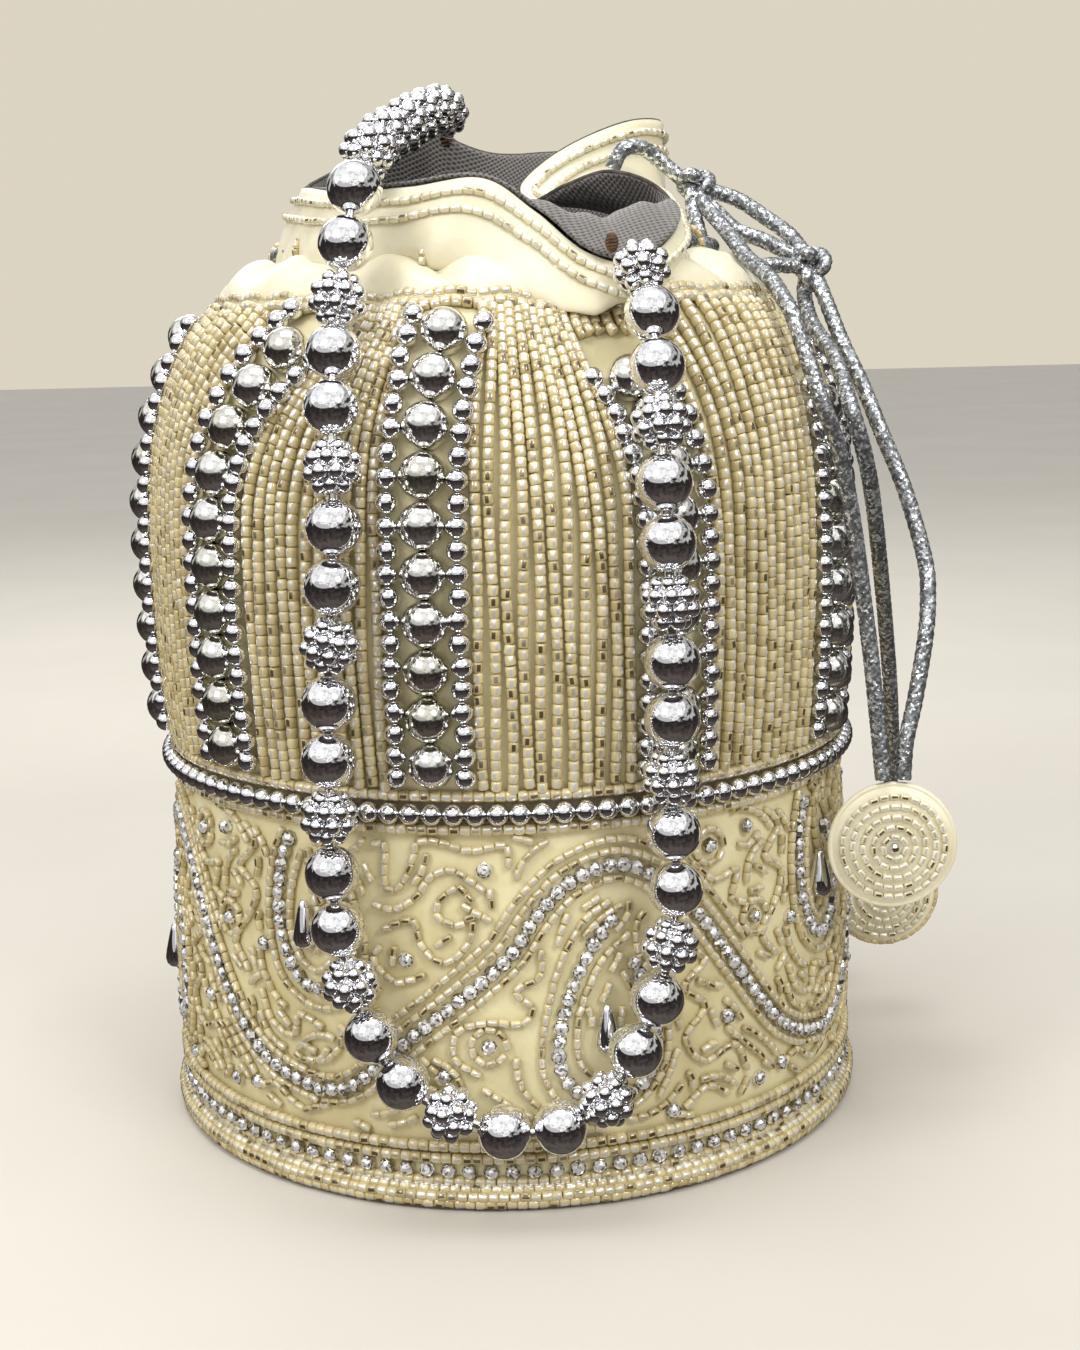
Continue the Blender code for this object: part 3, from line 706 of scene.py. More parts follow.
SCROLLS = [
    [(-20, 72.4), (-18, 72), (-18, 64.6), (-16, 64.2), (-14, 68.2), (-13, 72.8), (-10, 73.4), (-5, 71.8), (0, 72.6),
     (0.6, 68)],
    [(-20.6, 60.8), (-17, 60), (-13.4, 62.4), (-11, 66.6), (-8, 68), (-5.4, 66.2), (-3.4, 64.2)],
    [(-19, 55.6), (-14, 58), (-12.8, 53.6), (-10.6, 50.4), (-8, 50.6), (-5.4, 54.4), (-5, 58.8), (-7, 57.4),
     (-9.8, 58.6), (-9.8, 61.8), (-7, 64.6), (-5, 62)],
    [(-18.6, 53.4), (-20, 49.6), (-18, 46.6), (-16, 45.6), (-12.6, 47.2)],
    [(-4.4, 27.4), (-8, 31), (-7.4, 36.4), (-3, 38.2), (2, 38), (3.4, 41), (1, 44.4), (4.6, 47), (5, 52.4)],
    [(-22, 17.6), (-17.4, 19.6), (-15, 25), (-10.4, 23.4), (-11, 17.8), (-5.6, 16.2), (-1.6, 20), (2.6, 16.6)],
    [(26, 70.6), (29, 66), (33, 61.6), (37.4, 62.4), (36.4, 57), (39.6, 55.4)],
    [(27.4, 49.4), (30.6, 46), (27, 41.4), (30.4, 36.6), (27, 31), (30.2, 25.4), (36, 27), (38.6, 21.2)],
    [(27, 16.8), (31, 19.8), (35.4, 16.6)],
    [(44.4, 73), (47.6, 69), (44, 63.6), (47.8, 59.6), (46.4, 54.6), (42.6, 48), (45.6, 42.6)],
    [(48.6, 39.6), (51, 33.4), (55.4, 31.6), (56.6, 36.2), (61, 34.6)],
    [(47, 18), (51, 20), (56, 16.4), (61, 18.4)],
]
FLOWERS = [(-3, 33.4), (41, 52), (32.4, 68.4)]
SPARE_STONES = [(-3, 68), (-15, 50.2), (34.6, 33.4), (41.4, 17.8), (24.8, 16.4), (40, 70.6), (46.8, 19), (-9.6, 27.4),
                (49.6, 49)]
# The gaps are filled with short curved strings: half lengths tried in turn, tries of each,
# and the room kept round them.
FILL_REACHES = (7.0, 5.0, 3.4, 1.9)
FILL_TRIES = 1600
FILL_GAP = 1.75
STONE_PITCH = 2.85
BORDER_LINES = [12.9, 10.4]
STONE_BORDER = 7.6
TEARDROPS = [(14.2, 36.0), (-31.4, 55.2)]


def flat_line(route):
    """A smooth line in flattened millimetres through (bearing, height) points."""
    route = np.array(route, float)
    route[:, 0] *= MM_PER_DEGREE
    return smooth_line(route, 10)


def beside(line, distance):
    """The line moved sideways."""
    ahead = unit(np.gradient(line, axis=0))
    return line + np.stack([-ahead[:, 1], ahead[:, 0]], 1) * distance


def embroidery():
    """Paisleys, a wave of stones, flowers and wandering lines of cut beads, four repeats round the band."""
    wave = flat_line(WAVE)
    lines = [beside(wave, 2.7), beside(wave, -2.7), beside(wave, 5.0)[20:110]]
    lines += [flat_line(r) for r in (LOW_LEAF, LOW_LEAF_INNER, HIGH_LEAF, HIGH_LEAF_INNER)]
    lines += [flat_line(r) for r in SCROLLS]
    for bearing, height in FLOWERS:
        turn = circle(25)
        lines.append(np.stack([bearing * MM_PER_DEGREE + 3.4 * np.cos(turn), height + 3.4 * np.sin(turn)], 1))
    taken = np.concatenate([spaced(line, SEED_PITCH) for line in lines])
    stones = [tuple(p) for line in (wave, flat_line(LOW_STONES), flat_line(HIGH_STONES))
              for p in spaced(line, STONE_PITCH)]
    stones += [(b * MM_PER_DEGREE, z) for b, z in SPARE_STONES + FLOWERS]
    taken = np.concatenate([taken, np.array(stones),
                            [(b * MM_PER_DEGREE, z + d) for b, z in TEARDROPS for d in (-3, 0, 3)]])
    width = TILE_STEP * MM_PER_DEGREE
    taken = np.concatenate([taken, taken + [width, 0], taken - [width, 0]])
    for reach in FILL_REACHES:
        for _ in range(FILL_TRIES):
            middle = RNG.uniform((-30 * MM_PER_DEGREE, 15.4), (60 * MM_PER_DEGREE, 74.4))
            slant, curl = RNG.uniform(0, 2 * np.pi), RNG.uniform(-0.22, 0.22)
            step = np.linspace(-reach, reach, max(3, round(reach)))
            heading = slant + curl * step
            arc = middle + np.cumsum(np.stack([np.cos(heading), np.sin(heading)], 1), axis=0) * (step[1] - step[0])
            if arc[:, 1].min() > 14.6 and arc[:, 1].max() < 74.6 and np.min(
                    np.linalg.norm(taken[:, None] - arc[None], axis=2)) > FILL_GAP:
                lines.append(arc)
                taken = np.concatenate([taken, spaced(arc, SEED_PITCH)])
    for tile in range(TILES):
        turn = tile * TILE_STEP
        strings = []
        for line in lines:
            strings.append(wall_string(line[:, 0] / MM_PER_DEGREE + turn, np.clip(line[:, 1], 14.2, 75), 0.72))
        seeds(f"band_seeds_{tile + 1}", strings, jitter=0.09, pattern=FINE_SEED, pitch=2.16)
        at = np.array(stones)
        bearing, z = at[:, 0] / MM_PER_DEGREE + turn, at[:, 1]
        out = wall_out(bearing, z)
        frames = shaken(upright(out), 0.16)
        place_all(f"band_stones_{tile + 1}", STONE, frames, on_wall(bearing, z) + out * 0.75, [CRYSTAL, CUP], "bag",
                  smooth=False)


embroidery()


def teardrop_pattern():
    """A long metal drop along X, its narrow end at +X."""
    outline = [(-4.9, 0.6), (-4.6, 1.6), (-3.9, 2.25), (-2.8, 2.5), (-1.0, 2.2), (1.4, 1.65), (3.4, 1.15), (4.6, 0.8),
               (4.9, 0.4)]
    return lathe_pattern(outline, 16)


def drops():
    bearing = np.array([b + TILE_STEP * t for t in range(TILES) for b, _ in TEARDROPS])
    z = np.array([h for _ in range(TILES) for _, h in TEARDROPS])
    out = wall_out(bearing, z)
    frames = upright(out)
    place_all("metal_drops", teardrop_pattern(), frames, on_wall(bearing, z) + out * 1.7, [MIRROR], "bag")


drops()

HEM_RADIUS, HEM_ROLL, HEM_MIDDLE = 74.95, 2.1, 2.4


def lower_border():
    """Lines of seeds, a ring of stones, and the hem roll wrapped in seeds."""
    turn = np.arange(360.0)
    strings = [wall_string(turn, np.full(360, z), 1.0, True) for z in BORDER_LINES]
    strings.append(ring_line(HEM_RADIUS - 0.2, HEM_MIDDLE + 2.9))
    for lean in (62, 18, -28):
        a = math.radians(lean)
        line, out, _ = ring_line(HEM_RADIUS + (HEM_ROLL - 0.35) * math.cos(a),
                                 HEM_MIDDLE + (HEM_ROLL - 0.35) * math.sin(a))
        out = out * math.cos(a) + np.array([0, 0, math.sin(a)])
        strings.append((line, out, True))
    item = seeds("border_seeds", strings, jitter=0.06)
    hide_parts("hem_piping")
    count = 112
    bearing = np.arange(count) * 360 / count
    z = np.full(count, STONE_BORDER)
    out = wall_out(bearing, z)
    frames = shaken(upright(out), 0.14)
    place_all("border_stones", STONE, frames, on_wall(bearing, z) + out * 0.9, [CRYSTAL, CUP], "bag",
              smooth=False)
    turned_skin("hem_cord", [(HEM_RADIUS + 1.35 * math.cos(a), HEM_MIDDLE + 1.35 * math.sin(a))
                             for a in circle(12)], GROUND)


lower_border()


def shoulder_border():
    """Two rows of seeds that scallop along the top edge."""
    wave = lambda b: 0.35 * np.sin(np.radians(b) * 40)
    strings = [ring_line(61.2, 173.4, 720, wave), ring_line(59.6, 175.2, 720, wave)]
    item = seeds("shoulder_seeds", strings, jitter=0.06)
    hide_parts("shoulder_border")


shoulder_border()


# ---------------------------------------------------------------- neck: collar, ruffle, lining

NECK_RADIUS, NECK_HEIGHT = 42.2, 181.6
RIM = [
    (184, -40, -6, 198.5), (205, -37, -24, 197), (222, -28, -39, 195), (240, -15, -47, 195),
    (258, -1, -50, 196), (272, 9, -51, 189.4), (285, 18, -53, 182), (300, 27, -53.5, 179.8),
    (312, 34.5, -45, 184.5), (321, 37, -33, 190), (330, 34, -22.5, 196), (338, 25, -18, 199.5),
    (345, 16, -16, 197.5), (351, 8.5, -12.5, 194.5), (357, 6, -4, 198), (363, 12, 4, 204),
    (370, 21, 8, 209), (378, 31, 13, 212.5), (388, 38, 22, 213), (400, 37, 33, 211), (412, 28, 41, 209),
    (430, 13, 45, 208.5), (448, 0, 45.5, 208.5), (462, -9, 41, 211), (470, -14, 36, 214),
    (482, -23, 33, 211), (500, -32, 26, 206), (522, -38, 12, 202),
]
RUFFLE_ARCH = 7.5


def rim_at(u):
    """Neck bearing and rim point at places along the closed rim; u runs from 0 to the number of rim marks."""
    marks = np.array(RIM, float)
    count = len(marks)
    i = np.floor(u).astype(int) % count
    t = (u - np.floor(u))[..., None]
    a, b, c, d = (marks[(i + k) % count, 1:] for k in (-1, 0, 1, 2))
    point = 0.5 * (2 * b + (c - a) * t + (2 * a - 5 * b + 4 * c - d) * t * t + (3 * b - a - 3 * c + d) * t ** 3)
    start = marks[i, 0]
    end = np.where(i + 1 < count, marks[(i + 1) % count, 0], marks[0, 0] + 360)
    return np.radians(start + (end - start) * t[..., 0]), point


def ruffle_base(u, share):
    bearing, rim = rim_at(u)
    neck = np.stack([NECK_RADIUS * np.cos(bearing), NECK_RADIUS * np.sin(bearing), NECK_HEIGHT + 0 * bearing], -1)
    spread = (share ** 1.7)[..., None]
    point = neck + (rim - neck) * spread
    low = np.clip((200 - rim[..., 2]) / 16, 0, 1)
    point[..., 2] = (NECK_HEIGHT + (rim[..., 2] - NECK_HEIGHT) * share + RUFFLE_ARCH * low * np.sin(np.pi * share))
    return point


def gathers_at(u, share):
    """How far the gathers stand out of the frill; they fade towards the rim."""
    bearing, _ = rim_at(u)
    gather = np.sin(bearing * 23 + 1.3 * np.sin(bearing * 5)) + 0.5 * np.sin(bearing * 41 + 2.0)
    soft = 0.35 * np.sin(bearing * 11 + share * 3.0) * np.sin(np.pi * share)
    return gather * (0.55 * (1 - share) ** 1.1 + 0.05) + soft


def ruffle_at(u, share, inwards=0.0):
    """The frill's surface with its gathers, which fade towards the rim."""
    return ruffle_base(u, share) + surface_out(ruffle_base, u, share) * (gathers_at(u, share) - inwards)[..., None]


RIM_MARKS = len(RIM)
FRILL_COLUMNS, FRILL_ROWS = 560, 26

# How far the satin cuff bulges below the rim, in front: neck bearing, radius and height that pull it.
CUFF = [(176, 44, 188), (190, 46, 186), (205, 50, 183), (222, 54, 180), (240, 55, 177), (250, 57, 181), (262, 59, 173),
        (270, 63, 167), (280, 67.5, 160), (287, 69, 160), (294, 67, 165), (303, 65, 168), (312, 61, 175),
        (322, 53, 184), (332, 45, 189)]
CUFF_FOOT = (48.6, 180.4)


def cuff_at(u, share):
    """The outer satin: in front it starts outside the cord, hangs as a soft roll, and rises to the rim."""
    bearing, rim = rim_at(u)
    degrees = np.degrees(bearing) % 360
    table = np.array(CUFF, float)
    weight = np.clip(np.minimum((degrees - 178) / 26, (333 - degrees) / 20), 0, 1)
    weight = (weight * weight * (3 - 2 * weight))[..., None]
    pull_r = np.interp(degrees, table[:, 0], table[:, 1])
    pull_z = np.interp(degrees, table[:, 0], table[:, 2])
    ray = np.stack([np.cos(bearing), np.sin(bearing), 0 * bearing], -1)
    up = np.array([0, 0, 1.0])
    rim_ray = unit(rim * [1, 1, 0])
    foot = ray * CUFF_FOOT[0] + up * CUFF_FOOT[1]
    pull = unit(ray + rim_ray) * pull_r[..., None] + up * pull_z[..., None]
    t = share[..., None]
    roll = (1 - t) ** 2 * foot + 2 * t * (1 - t) * pull + t * t * rim
    return ruffle_base(u, share) * (1 - weight) + roll * weight


def surface_out(surface, u, share):
    round_it = surface(u + 0.12, share) - surface(u - 0.12, share)
    up = surface(u, np.minimum(1, share + 0.06)) - surface(u, np.maximum(0, share - 0.06))
    return unit(np.cross(round_it, up))


def cuff_satin(u, share, inwards=0.0):
    """The cuff with gathers near its foot and slow folds, which only stand outwards from the lining's."""
    bearing, _ = rim_at(u)
    puff = 0.35 * (1 + np.sin(bearing * 13 + share * 4.0)) * np.sin(np.pi * share)
    reach = gathers_at(u, share) + puff - inwards
    return cuff_at(u, share) + surface_out(cuff_at, u, share) * reach[..., None]


def below_rim(distance):
    """Places along the rim and the share of the cuff that lies that far below its edge."""
    u = np.arange(0, RIM_MARKS, 0.05)
    share = np.linspace(1, 0, 60)
    uu, ss = np.meshgrid(u, share, indexing="ij")
    line = cuff_satin(uu, ss)
    run = np.cumsum(np.linalg.norm(np.diff(line, axis=1), axis=2), axis=1)
    run = np.concatenate([np.zeros((len(u), 1)), run], axis=1)
    return u, np.array([np.interp(distance, row, share) for row in run])


def frill(name, surface, material, near, far):
    u = np.arange(FRILL_COLUMNS) * RIM_MARKS / FRILL_COLUMNS
    share = np.linspace(0, 1, FRILL_ROWS)
    uu, ss = np.meshgrid(u, share, indexing="ij")
    outer, inner = surface(uu, ss, near), surface(uu, ss, far)
    return grid(name, np.concatenate([outer, inner[:, ::-1]], axis=1), material, "bag")


def neck_parts():
    satin_frill = frill("ruffle_satin", cuff_satin, SATIN, 0.0, 0.6)
    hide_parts("ruffle")
    lining_frill = frill("ruffle_lining_cloth", ruffle_at, LINING, 0.7, 1.3)
    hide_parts("ruffle_lining")
    strings = []
    for distance in (3.0, 6.8):
        u, share = below_rim(distance)
        out = surface_out(cuff_at, u, share)
        strings.append((cuff_satin(u, share) + out * 0.6, out, True))
    seeds("ruffle_seeds", strings, pattern=LIP_SEED, pitch=2.12, tone=PALE_GLASS)
    edge = cuff_satin(u, np.ones(u.shape), 0.7)
    tube("ruffle_piping", edge, 0.5, PIPING, "bag", closed=True, sides=8)
    return satin_frill, lining_frill


def tube(name, line, radius, material, body, closed=False, sides=10, relief=None):
    """A round tube along a line; relief(angle, distance) scales the radius to model a braid."""
    line = np.asarray(line, float)
    ahead = unit(directions(line, closed))
    normal = np.array(Vector(ahead[0]).orthogonal().normalized())
    run = run_along(line)
    turn = 2 * np.pi * np.arange(sides) / sides
    rings = []
    for p, a, s in zip(line, ahead, run):
        normal = unit(normal - a * (normal @ a))
        side = np.cross(a, normal)
        scale = radius * (relief(turn, s) if relief else 1.0 + 0 * turn)
        rings.append(p + (normal[None] * np.cos(turn)[:, None] + side[None] * np.sin(turn)[:, None]) * scale[:, None])
    points = np.array(rings)
    count = len(rings)
    last = count if closed else count - 1
    i, k = np.meshgrid(np.arange(last), np.arange(sides), indexing="ij")
    j, m = (i + 1) % count, (k + 1) % sides
    faces = np.stack([i * sides + k, i * sides + m, j * sides + m, j * sides + k], -1).reshape(-1, 4)
    groups = [(faces, np.zeros(len(faces), int))]
    if not closed:
        caps = np.array([list(range(sides))[::-1], [(count - 1) * sides + k for k in range(sides)]])
        groups.append((caps, np.zeros(2, int)))
    return build(name, points.reshape(-1, 3), groups, [material], body)


COLLAR = [(60.6, 173.0), (60.2, 175.4), (58.4, 178.2), (55.4, 180.4), (52.0, 181.8), (49.2, 182.0), (46.8, 180.6),
          (44.6, 179.8), (43.0, 180.6)]


def collar():
    """Satin drawn into the neck in radial gathers."""
    top = smooth_line(COLLAR, 6)
    section = np.concatenate([top, (top - [0.35, 0.7])[::-1]])

    def gathers(points):
        radius = np.hypot(points[..., 0], points[..., 1])
        angle = np.arctan2(points[..., 1], points[..., 0])
        share = np.clip((60.6 - radius) / 14, 0, 1)
        swell = np.sin(np.pi * share) ** 0.7
        lobe = np.abs(np.sin(angle * 9 + 0.9 * np.sin(angle * 2 + 1) + share * 1.2)) ** 0.55
        fold = (lobe - 0.72) * 4.2
        fold += 0.5 * np.sin(angle * 29 + 2 * np.sin(angle * 5) + share * 2)
        points = points.copy()
        points[..., 2] += fold * swell
        return points

    item = turned_skin("collar_satin", section, SATIN, 520, gathers)
    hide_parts("satin_collar")
    return item


FRILL_SATIN, FRILL_LINING = neck_parts()
COLLAR_CLOTH = collar()


def inner_lining():
    """The lining bag inside, a turned cup of cloth."""
    outline = [(0.5, 3.6), (68, 3.6), (70.2, 5.6), (70.3, 60), (70.3, 126), (70.2, 142), (69.6, 149.4), (66.6, 157.4),
               (63.0, 164.4), (57.6, 171.0), (52.2, 175.4), (48, 177.2), (43, 178.4), (41.6, 179.4), (41.2, 181.6)]
    outer = np.array(outline)
    inner = outer - [0.7, 0]
    inner[:3] = [(0.5, 4.3), (67.4, 4.3), (69.5, 6.2)]
    item = turned_skin("lining_cloth", np.concatenate([outer, inner[::-1]]), LINING, steps=160)
    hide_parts("lining_bag")


inner_lining()


# ---------------------------------------------------------------- drawstring

CORD = 3.2
NECK_RING = 46.6
BRAID_LOBES = 6
BRAID_PITCH = 4.2


def braid_relief(angle, distance):
    """Height of a round braid: two sets of strands that pass over and under each other."""
    a = angle / (2 * np.pi) * BRAID_LOBES + distance / BRAID_PITCH * 2
    b = angle / (2 * np.pi) * BRAID_LOBES - distance / BRAID_PITCH * 2
    over = (np.floor(a) + np.floor(b)) % 2 == 0
    return 0.86 + 0.2 * np.where(over, np.abs(np.sin(np.pi * a)), np.abs(np.sin(np.pi * b))) ** 0.8


def braided(name, route, body, closed=False):
    line = spaced(smooth_line(route, 24, closed), 0.36, closed)
    item = tube(name, line, CORD / 2, BRAID, body, closed=closed, sides=24, relief=braid_relief)
    return item, line


BOW_KNOT = (43.6, 1.2, 197.2)
END_KNOT = (67.4, -6.4, 179.6)
BOW_OUTER = [(25.5, -0.5, 201), (27.8, -1, 205), (32, 1.2, 205.6), (36.2, 2.6, 202.8), (40, 2.4, 199.6), BOW_KNOT,
             (48, 1.4, 196), (53, 0.4, 194), (58.4, -1.4, 190.2), (63, -3.4, 186.6), (66, -5.4, 182.6)]
BOW_RETURN = [(42.2, 3.4, 199.6), (44.4, -0.4, 195), (47.6, -3, 191.6), (51.6, -5, 187.6), (57, -6, 185.4),
              (62.6, -6.4, 182.6), (66, -6.6, 180.6)]
NECK_TAIL = [(39.4, -23.6, 185.0), (43.0, -19, 183.6), (45.8, -16.4, 180.2), (48.6, -15, 179), (53.6, -12.4, 179.4),
             (58.4, -10, 180), (62.6, -8.4, 179.8), (66, -7, 179.6)]
NECK_LOOP = [(34, -29, 183.2), (37.4, -23, 180.9), (41, -18, 179.4), (43.8, -12, 183), (43.3, -6, 188.2),
             (42.6, -2, 193.2), BOW_KNOT]
STRAND_TOP = [(44.2, -0.8, 195.4), (45.4, -4.4, 192.4), (48.6, -11, 187.6), (52, -21, 181.4), (55.6, -31.5, 176.6),
              (57.8, -38.4, 171.8)]
STRAND_LEFT = [(57.3, -36.9, 172.8), (58.6, -40.4, 169.8), (60.8, -43.2, 162.3), (63.7, -46.6, 152.4),
               (66.8, -45, 144.6), (69, -43.2, 136.6), (71.3, -41.8, 124.6), (73, -41.6, 112.6),
               (74.3, -42.2, 102.4), (75.4, -43.6, 90.5), (76.6, -45.4, 76.4)]
STRAND_RIGHT = [(67.8, -7.6, 178.4), (69.4, -10.8, 173.6), (72.5, -15.5, 164), (76, -20.5, 155),
                (79.2, -24.8, 145.6), (83.5, -29, 133.6), (87, -33, 119.5), (87.1, -36, 111.7), (86, -39, 103.9),
                (83.5, -42, 92.1), (81.3, -44.4, 84), (80.6, -45.4, 76.4)]
STRAND_BACK = [(66.6, -5.2, 178.2), (66.0, -6.4, 173.6), (66.6, -14.5, 167.4), (69, -28.4, 160.8), (70, -40, 152.4),
               (73.2, -39.4, 142), (76.6, -31, 131.5), (80.8, -19, 113.5), (84.6, -7, 96), (87.2, 2, 83),
               (89.6, 12, 66.6), (90, 19, 52), (89.8, 22, 44.4)]


def drawstring():
    """The cord round the neck, its bow, and the strands that hang at the side."""
    ring = [(NECK_RING * math.cos(a), NECK_RING * math.sin(a), 184.3) for a in circle(24)]
    neck, _ = braided("neck_braid", ring, "bag", closed=True)
    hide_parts("neck_cord")
    made = {}
    for name, route, stands_for in (
            ("bow_outer_braid", BOW_OUTER, ("bow_tail", "bow_loop_outer")),
            ("bow_return_braid", BOW_RETURN, ("bow_loop_inner",)), ("neck_tail_braid", NECK_TAIL, ("neck_tail",)),
            ("neck_loop_braid", NECK_LOOP, ()), ("strand_top_braid", STRAND_TOP, ("strand_top",))):
        item, line = braided(name, route, "bag")
        if stands_for:
            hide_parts(*stands_for)
        made[name] = (item, line, "loose")
    for name, route, stands_for in (("strand_left_braid", STRAND_LEFT, "strand_left"),
                                    ("strand_right_braid", STRAND_RIGHT, "strand_right"),
                                    ("strand_back_braid", STRAND_BACK, "strand_back")):
        item, line = braided(name, route, None)
        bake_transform(item)
        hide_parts(stands_for)
        made[name] = (item, line, "hanging")
    return made


def tied(name, centre, size, body, node):
    """A tight overhand knot in the braid."""
    turn = circle(119)
    x = np.sin(turn) + 2 * np.sin(2 * turn)
    y = np.cos(turn) - 2 * np.cos(2 * turn)
    z = -np.sin(3 * turn) * 1.6
    reach = np.array(size) - 1.4
    line = np.stack([x / 3 * reach[0], z / 1.6 * reach[1], y / 3 * reach[2]], 1) + np.array(centre)
    line = spaced(line, 0.36, closed=True)
    item = tube(name, line, 1.45, BRAID, body, closed=True, sides=20, relief=braid_relief)
    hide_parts(node)
    return item


CORDS = drawstring()
tied("bow_knot_braid", BOW_KNOT, (4.4, 4.2, 4.8), "bag", "bow_knot")
tied("end_knot_braid", END_KNOT, (4.4, 4.4, 5.4), "bag", "end_knot")


# Bearing, radius and height of each loop's middle. The first stands out so that it shows on the satin.
GUIDE_LOOPS = [(-104, 50.6, 180.6), (-32, 46.8, 184.3), (128, 46.8, 184.3), (172, 46.8, 184.3), (218, 46.8, 184.3)]


def guide_loops():
    """Small rings of seeds that hold the cord at the neck."""
    strings = []
    for bearing, radius, height in GUIDE_LOOPS:
        b = math.radians(bearing)
        out = np.array([math.cos(b), math.sin(b), 0])
        centre = out * radius + [0, 0, height]
        turn = circle(39)
        spoke = out[None] * np.cos(turn)[:, None] + np.array([0, 0, 1.0])[None] * np.sin(turn)[:, None]
        strings.append((centre + spoke * 3.0, spoke, True))
    item = seeds("guide_loop_seeds", strings, pattern=seed_pattern(1.5, 0.75), pitch=1.6)
    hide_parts(*[f"drawstring_loop_{i + 1}" for i in range(5)])


guide_loops()


# ---------------------------------------------------------------- handle

HANDLE_ROUTE = [
    (-24.5, -57.5, 194.2), (-27.7, -64.5, 174.2), (-28.8, -74, 154.2), (-29, -77.8, 133), (-30.6, -78.2, 112),
    (-31.7, -78, 90.6), (-32, -78.2, 69.4), (-29.6, -79.4, 49), (-20.8, -81.8, 29.8), (-3.6, -83.4, 20.3),
    (8.2, -83.4, 20.1), (17.4, -82.8, 24.3), (27.4, -81.6, 43), (31.6, -80.6, 63.7), (31, -80.6, 84.3),
    (31.4, -81.4, 105.2), (30.9, -81.6, 127), (30.1, -79, 147.6), (29.5, -69.5, 168.2), (27.9, -61.5, 178.4),
]
HANDLE_TAIL_ROUTE = [(-22.6, -47.5, 201.4), (-20.2, -36.5, 205.4), (-17.4, -26, 208.4), (-14.9, -14, 211.4),
                     (-12.9, -3, 213.6), (-11.6, 8, 215.2), (-10.8, 17.5, 215.6)]
HANDLE_BEADS, TAIL_BEADS = 36, 7


def even_points(route, count):
    line = smooth_line(route, 12)
    run = run_along(line)
    return points_at(line, run, np.linspace(0, run[-1], count))


def cluster_pattern():
    """A core set with rings of small balls, its hole along X."""
    points, faces, base = [], [], 0
    parts = [(ball_pattern(3.6, 16, 10), np.zeros(3))]
    for along, radius, count, twist in ((-3.4, 2.3, 5, 0.0), (-1.3, 3.95, 8, 0.5), (1.3, 3.95, 8, 0.0),
                                        (3.4, 2.3, 5, 0.5)):
        for k in range(count):
            turn = 2 * math.pi * (k + twist) / count
            parts.append((GRAIN, np.array([along, radius * math.cos(turn), radius * math.sin(turn)])))
    for pattern, shift in parts:
        points.append(pattern.points + shift)
        for group, _ in pattern.groups:
            faces += [tuple(f) for f in group + base]
        base += len(pattern.points)
    return Pattern(np.concatenate(points), faces)


def strand(prefix, route, count, clustered, body, node):
    centres = even_points(route, count)
    ahead = directions(centres)
    frames = axes(ahead, np.tile([[0.3, -1.0, 0.2]], (count, 1)))
    index = np.arange(count)
    rough = np.array([clustered(i) for i in index])
    if (~rough).any():
        place_all(prefix + "_smooth", BALL_10, frames[~rough], centres[~rough], [MIRROR], body)
    place_all(prefix + "_cluster", cluster_pattern(), shaken(frames[rough], 0.12), centres[rough],
                           [MIRROR], body)
    tube(prefix + "_thread", smooth_line(route, 12), 0.9, CUP, body)
    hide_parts(node)


strand("handle", HANDLE_ROUTE, HANDLE_BEADS, lambda i: i % 3 == 2, "handle", "handle_strand")
strand("tail", HANDLE_TAIL_ROUTE, TAIL_BEADS, lambda i: True, "bag", "handle_tail")


def thread_knot(name, centre, size, node):
    """A small wound lump of thread."""
    turn = np.linspace(0, 14 * np.pi, 260)
    tilt = np.linspace(-1.3, 1.3, 260)
    line = np.stack([np.cos(tilt) * np.cos(turn) * (size[0] - 0.3), np.cos(tilt) * np.sin(turn) * (size[1] - 0.3),
                     np.sin(tilt) * (size[2] - 0.3)], 1) + np.array(centre)
    item = tube(name, line, 0.34, THREAD, "bag", sides=6)
    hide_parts(node)


thread_knot("thread_knot_right", (22.8, -56.9, 183.4), (1.3, 1.2, 1.9), "handle_knot_right")
thread_knot("thread_knot_left", (-10.8, 26, 212), (1.7, 1.7, 3.2), "handle_knot_left")


# ---------------------------------------------------------------- disc tassels

DISC_RADIUS, DISC_HALF = 12.6, 2.2
DISC_RINGS = (2.3, 4.3, 6.4, 8.5, 10.5)


def disc_face(radius):
    """Half thickness of the padded disc at a distance from its middle."""
    share = np.clip(radius / DISC_RADIUS, 0, 1)
    return DISC_HALF * (1 - share ** 2.6) ** 0.55


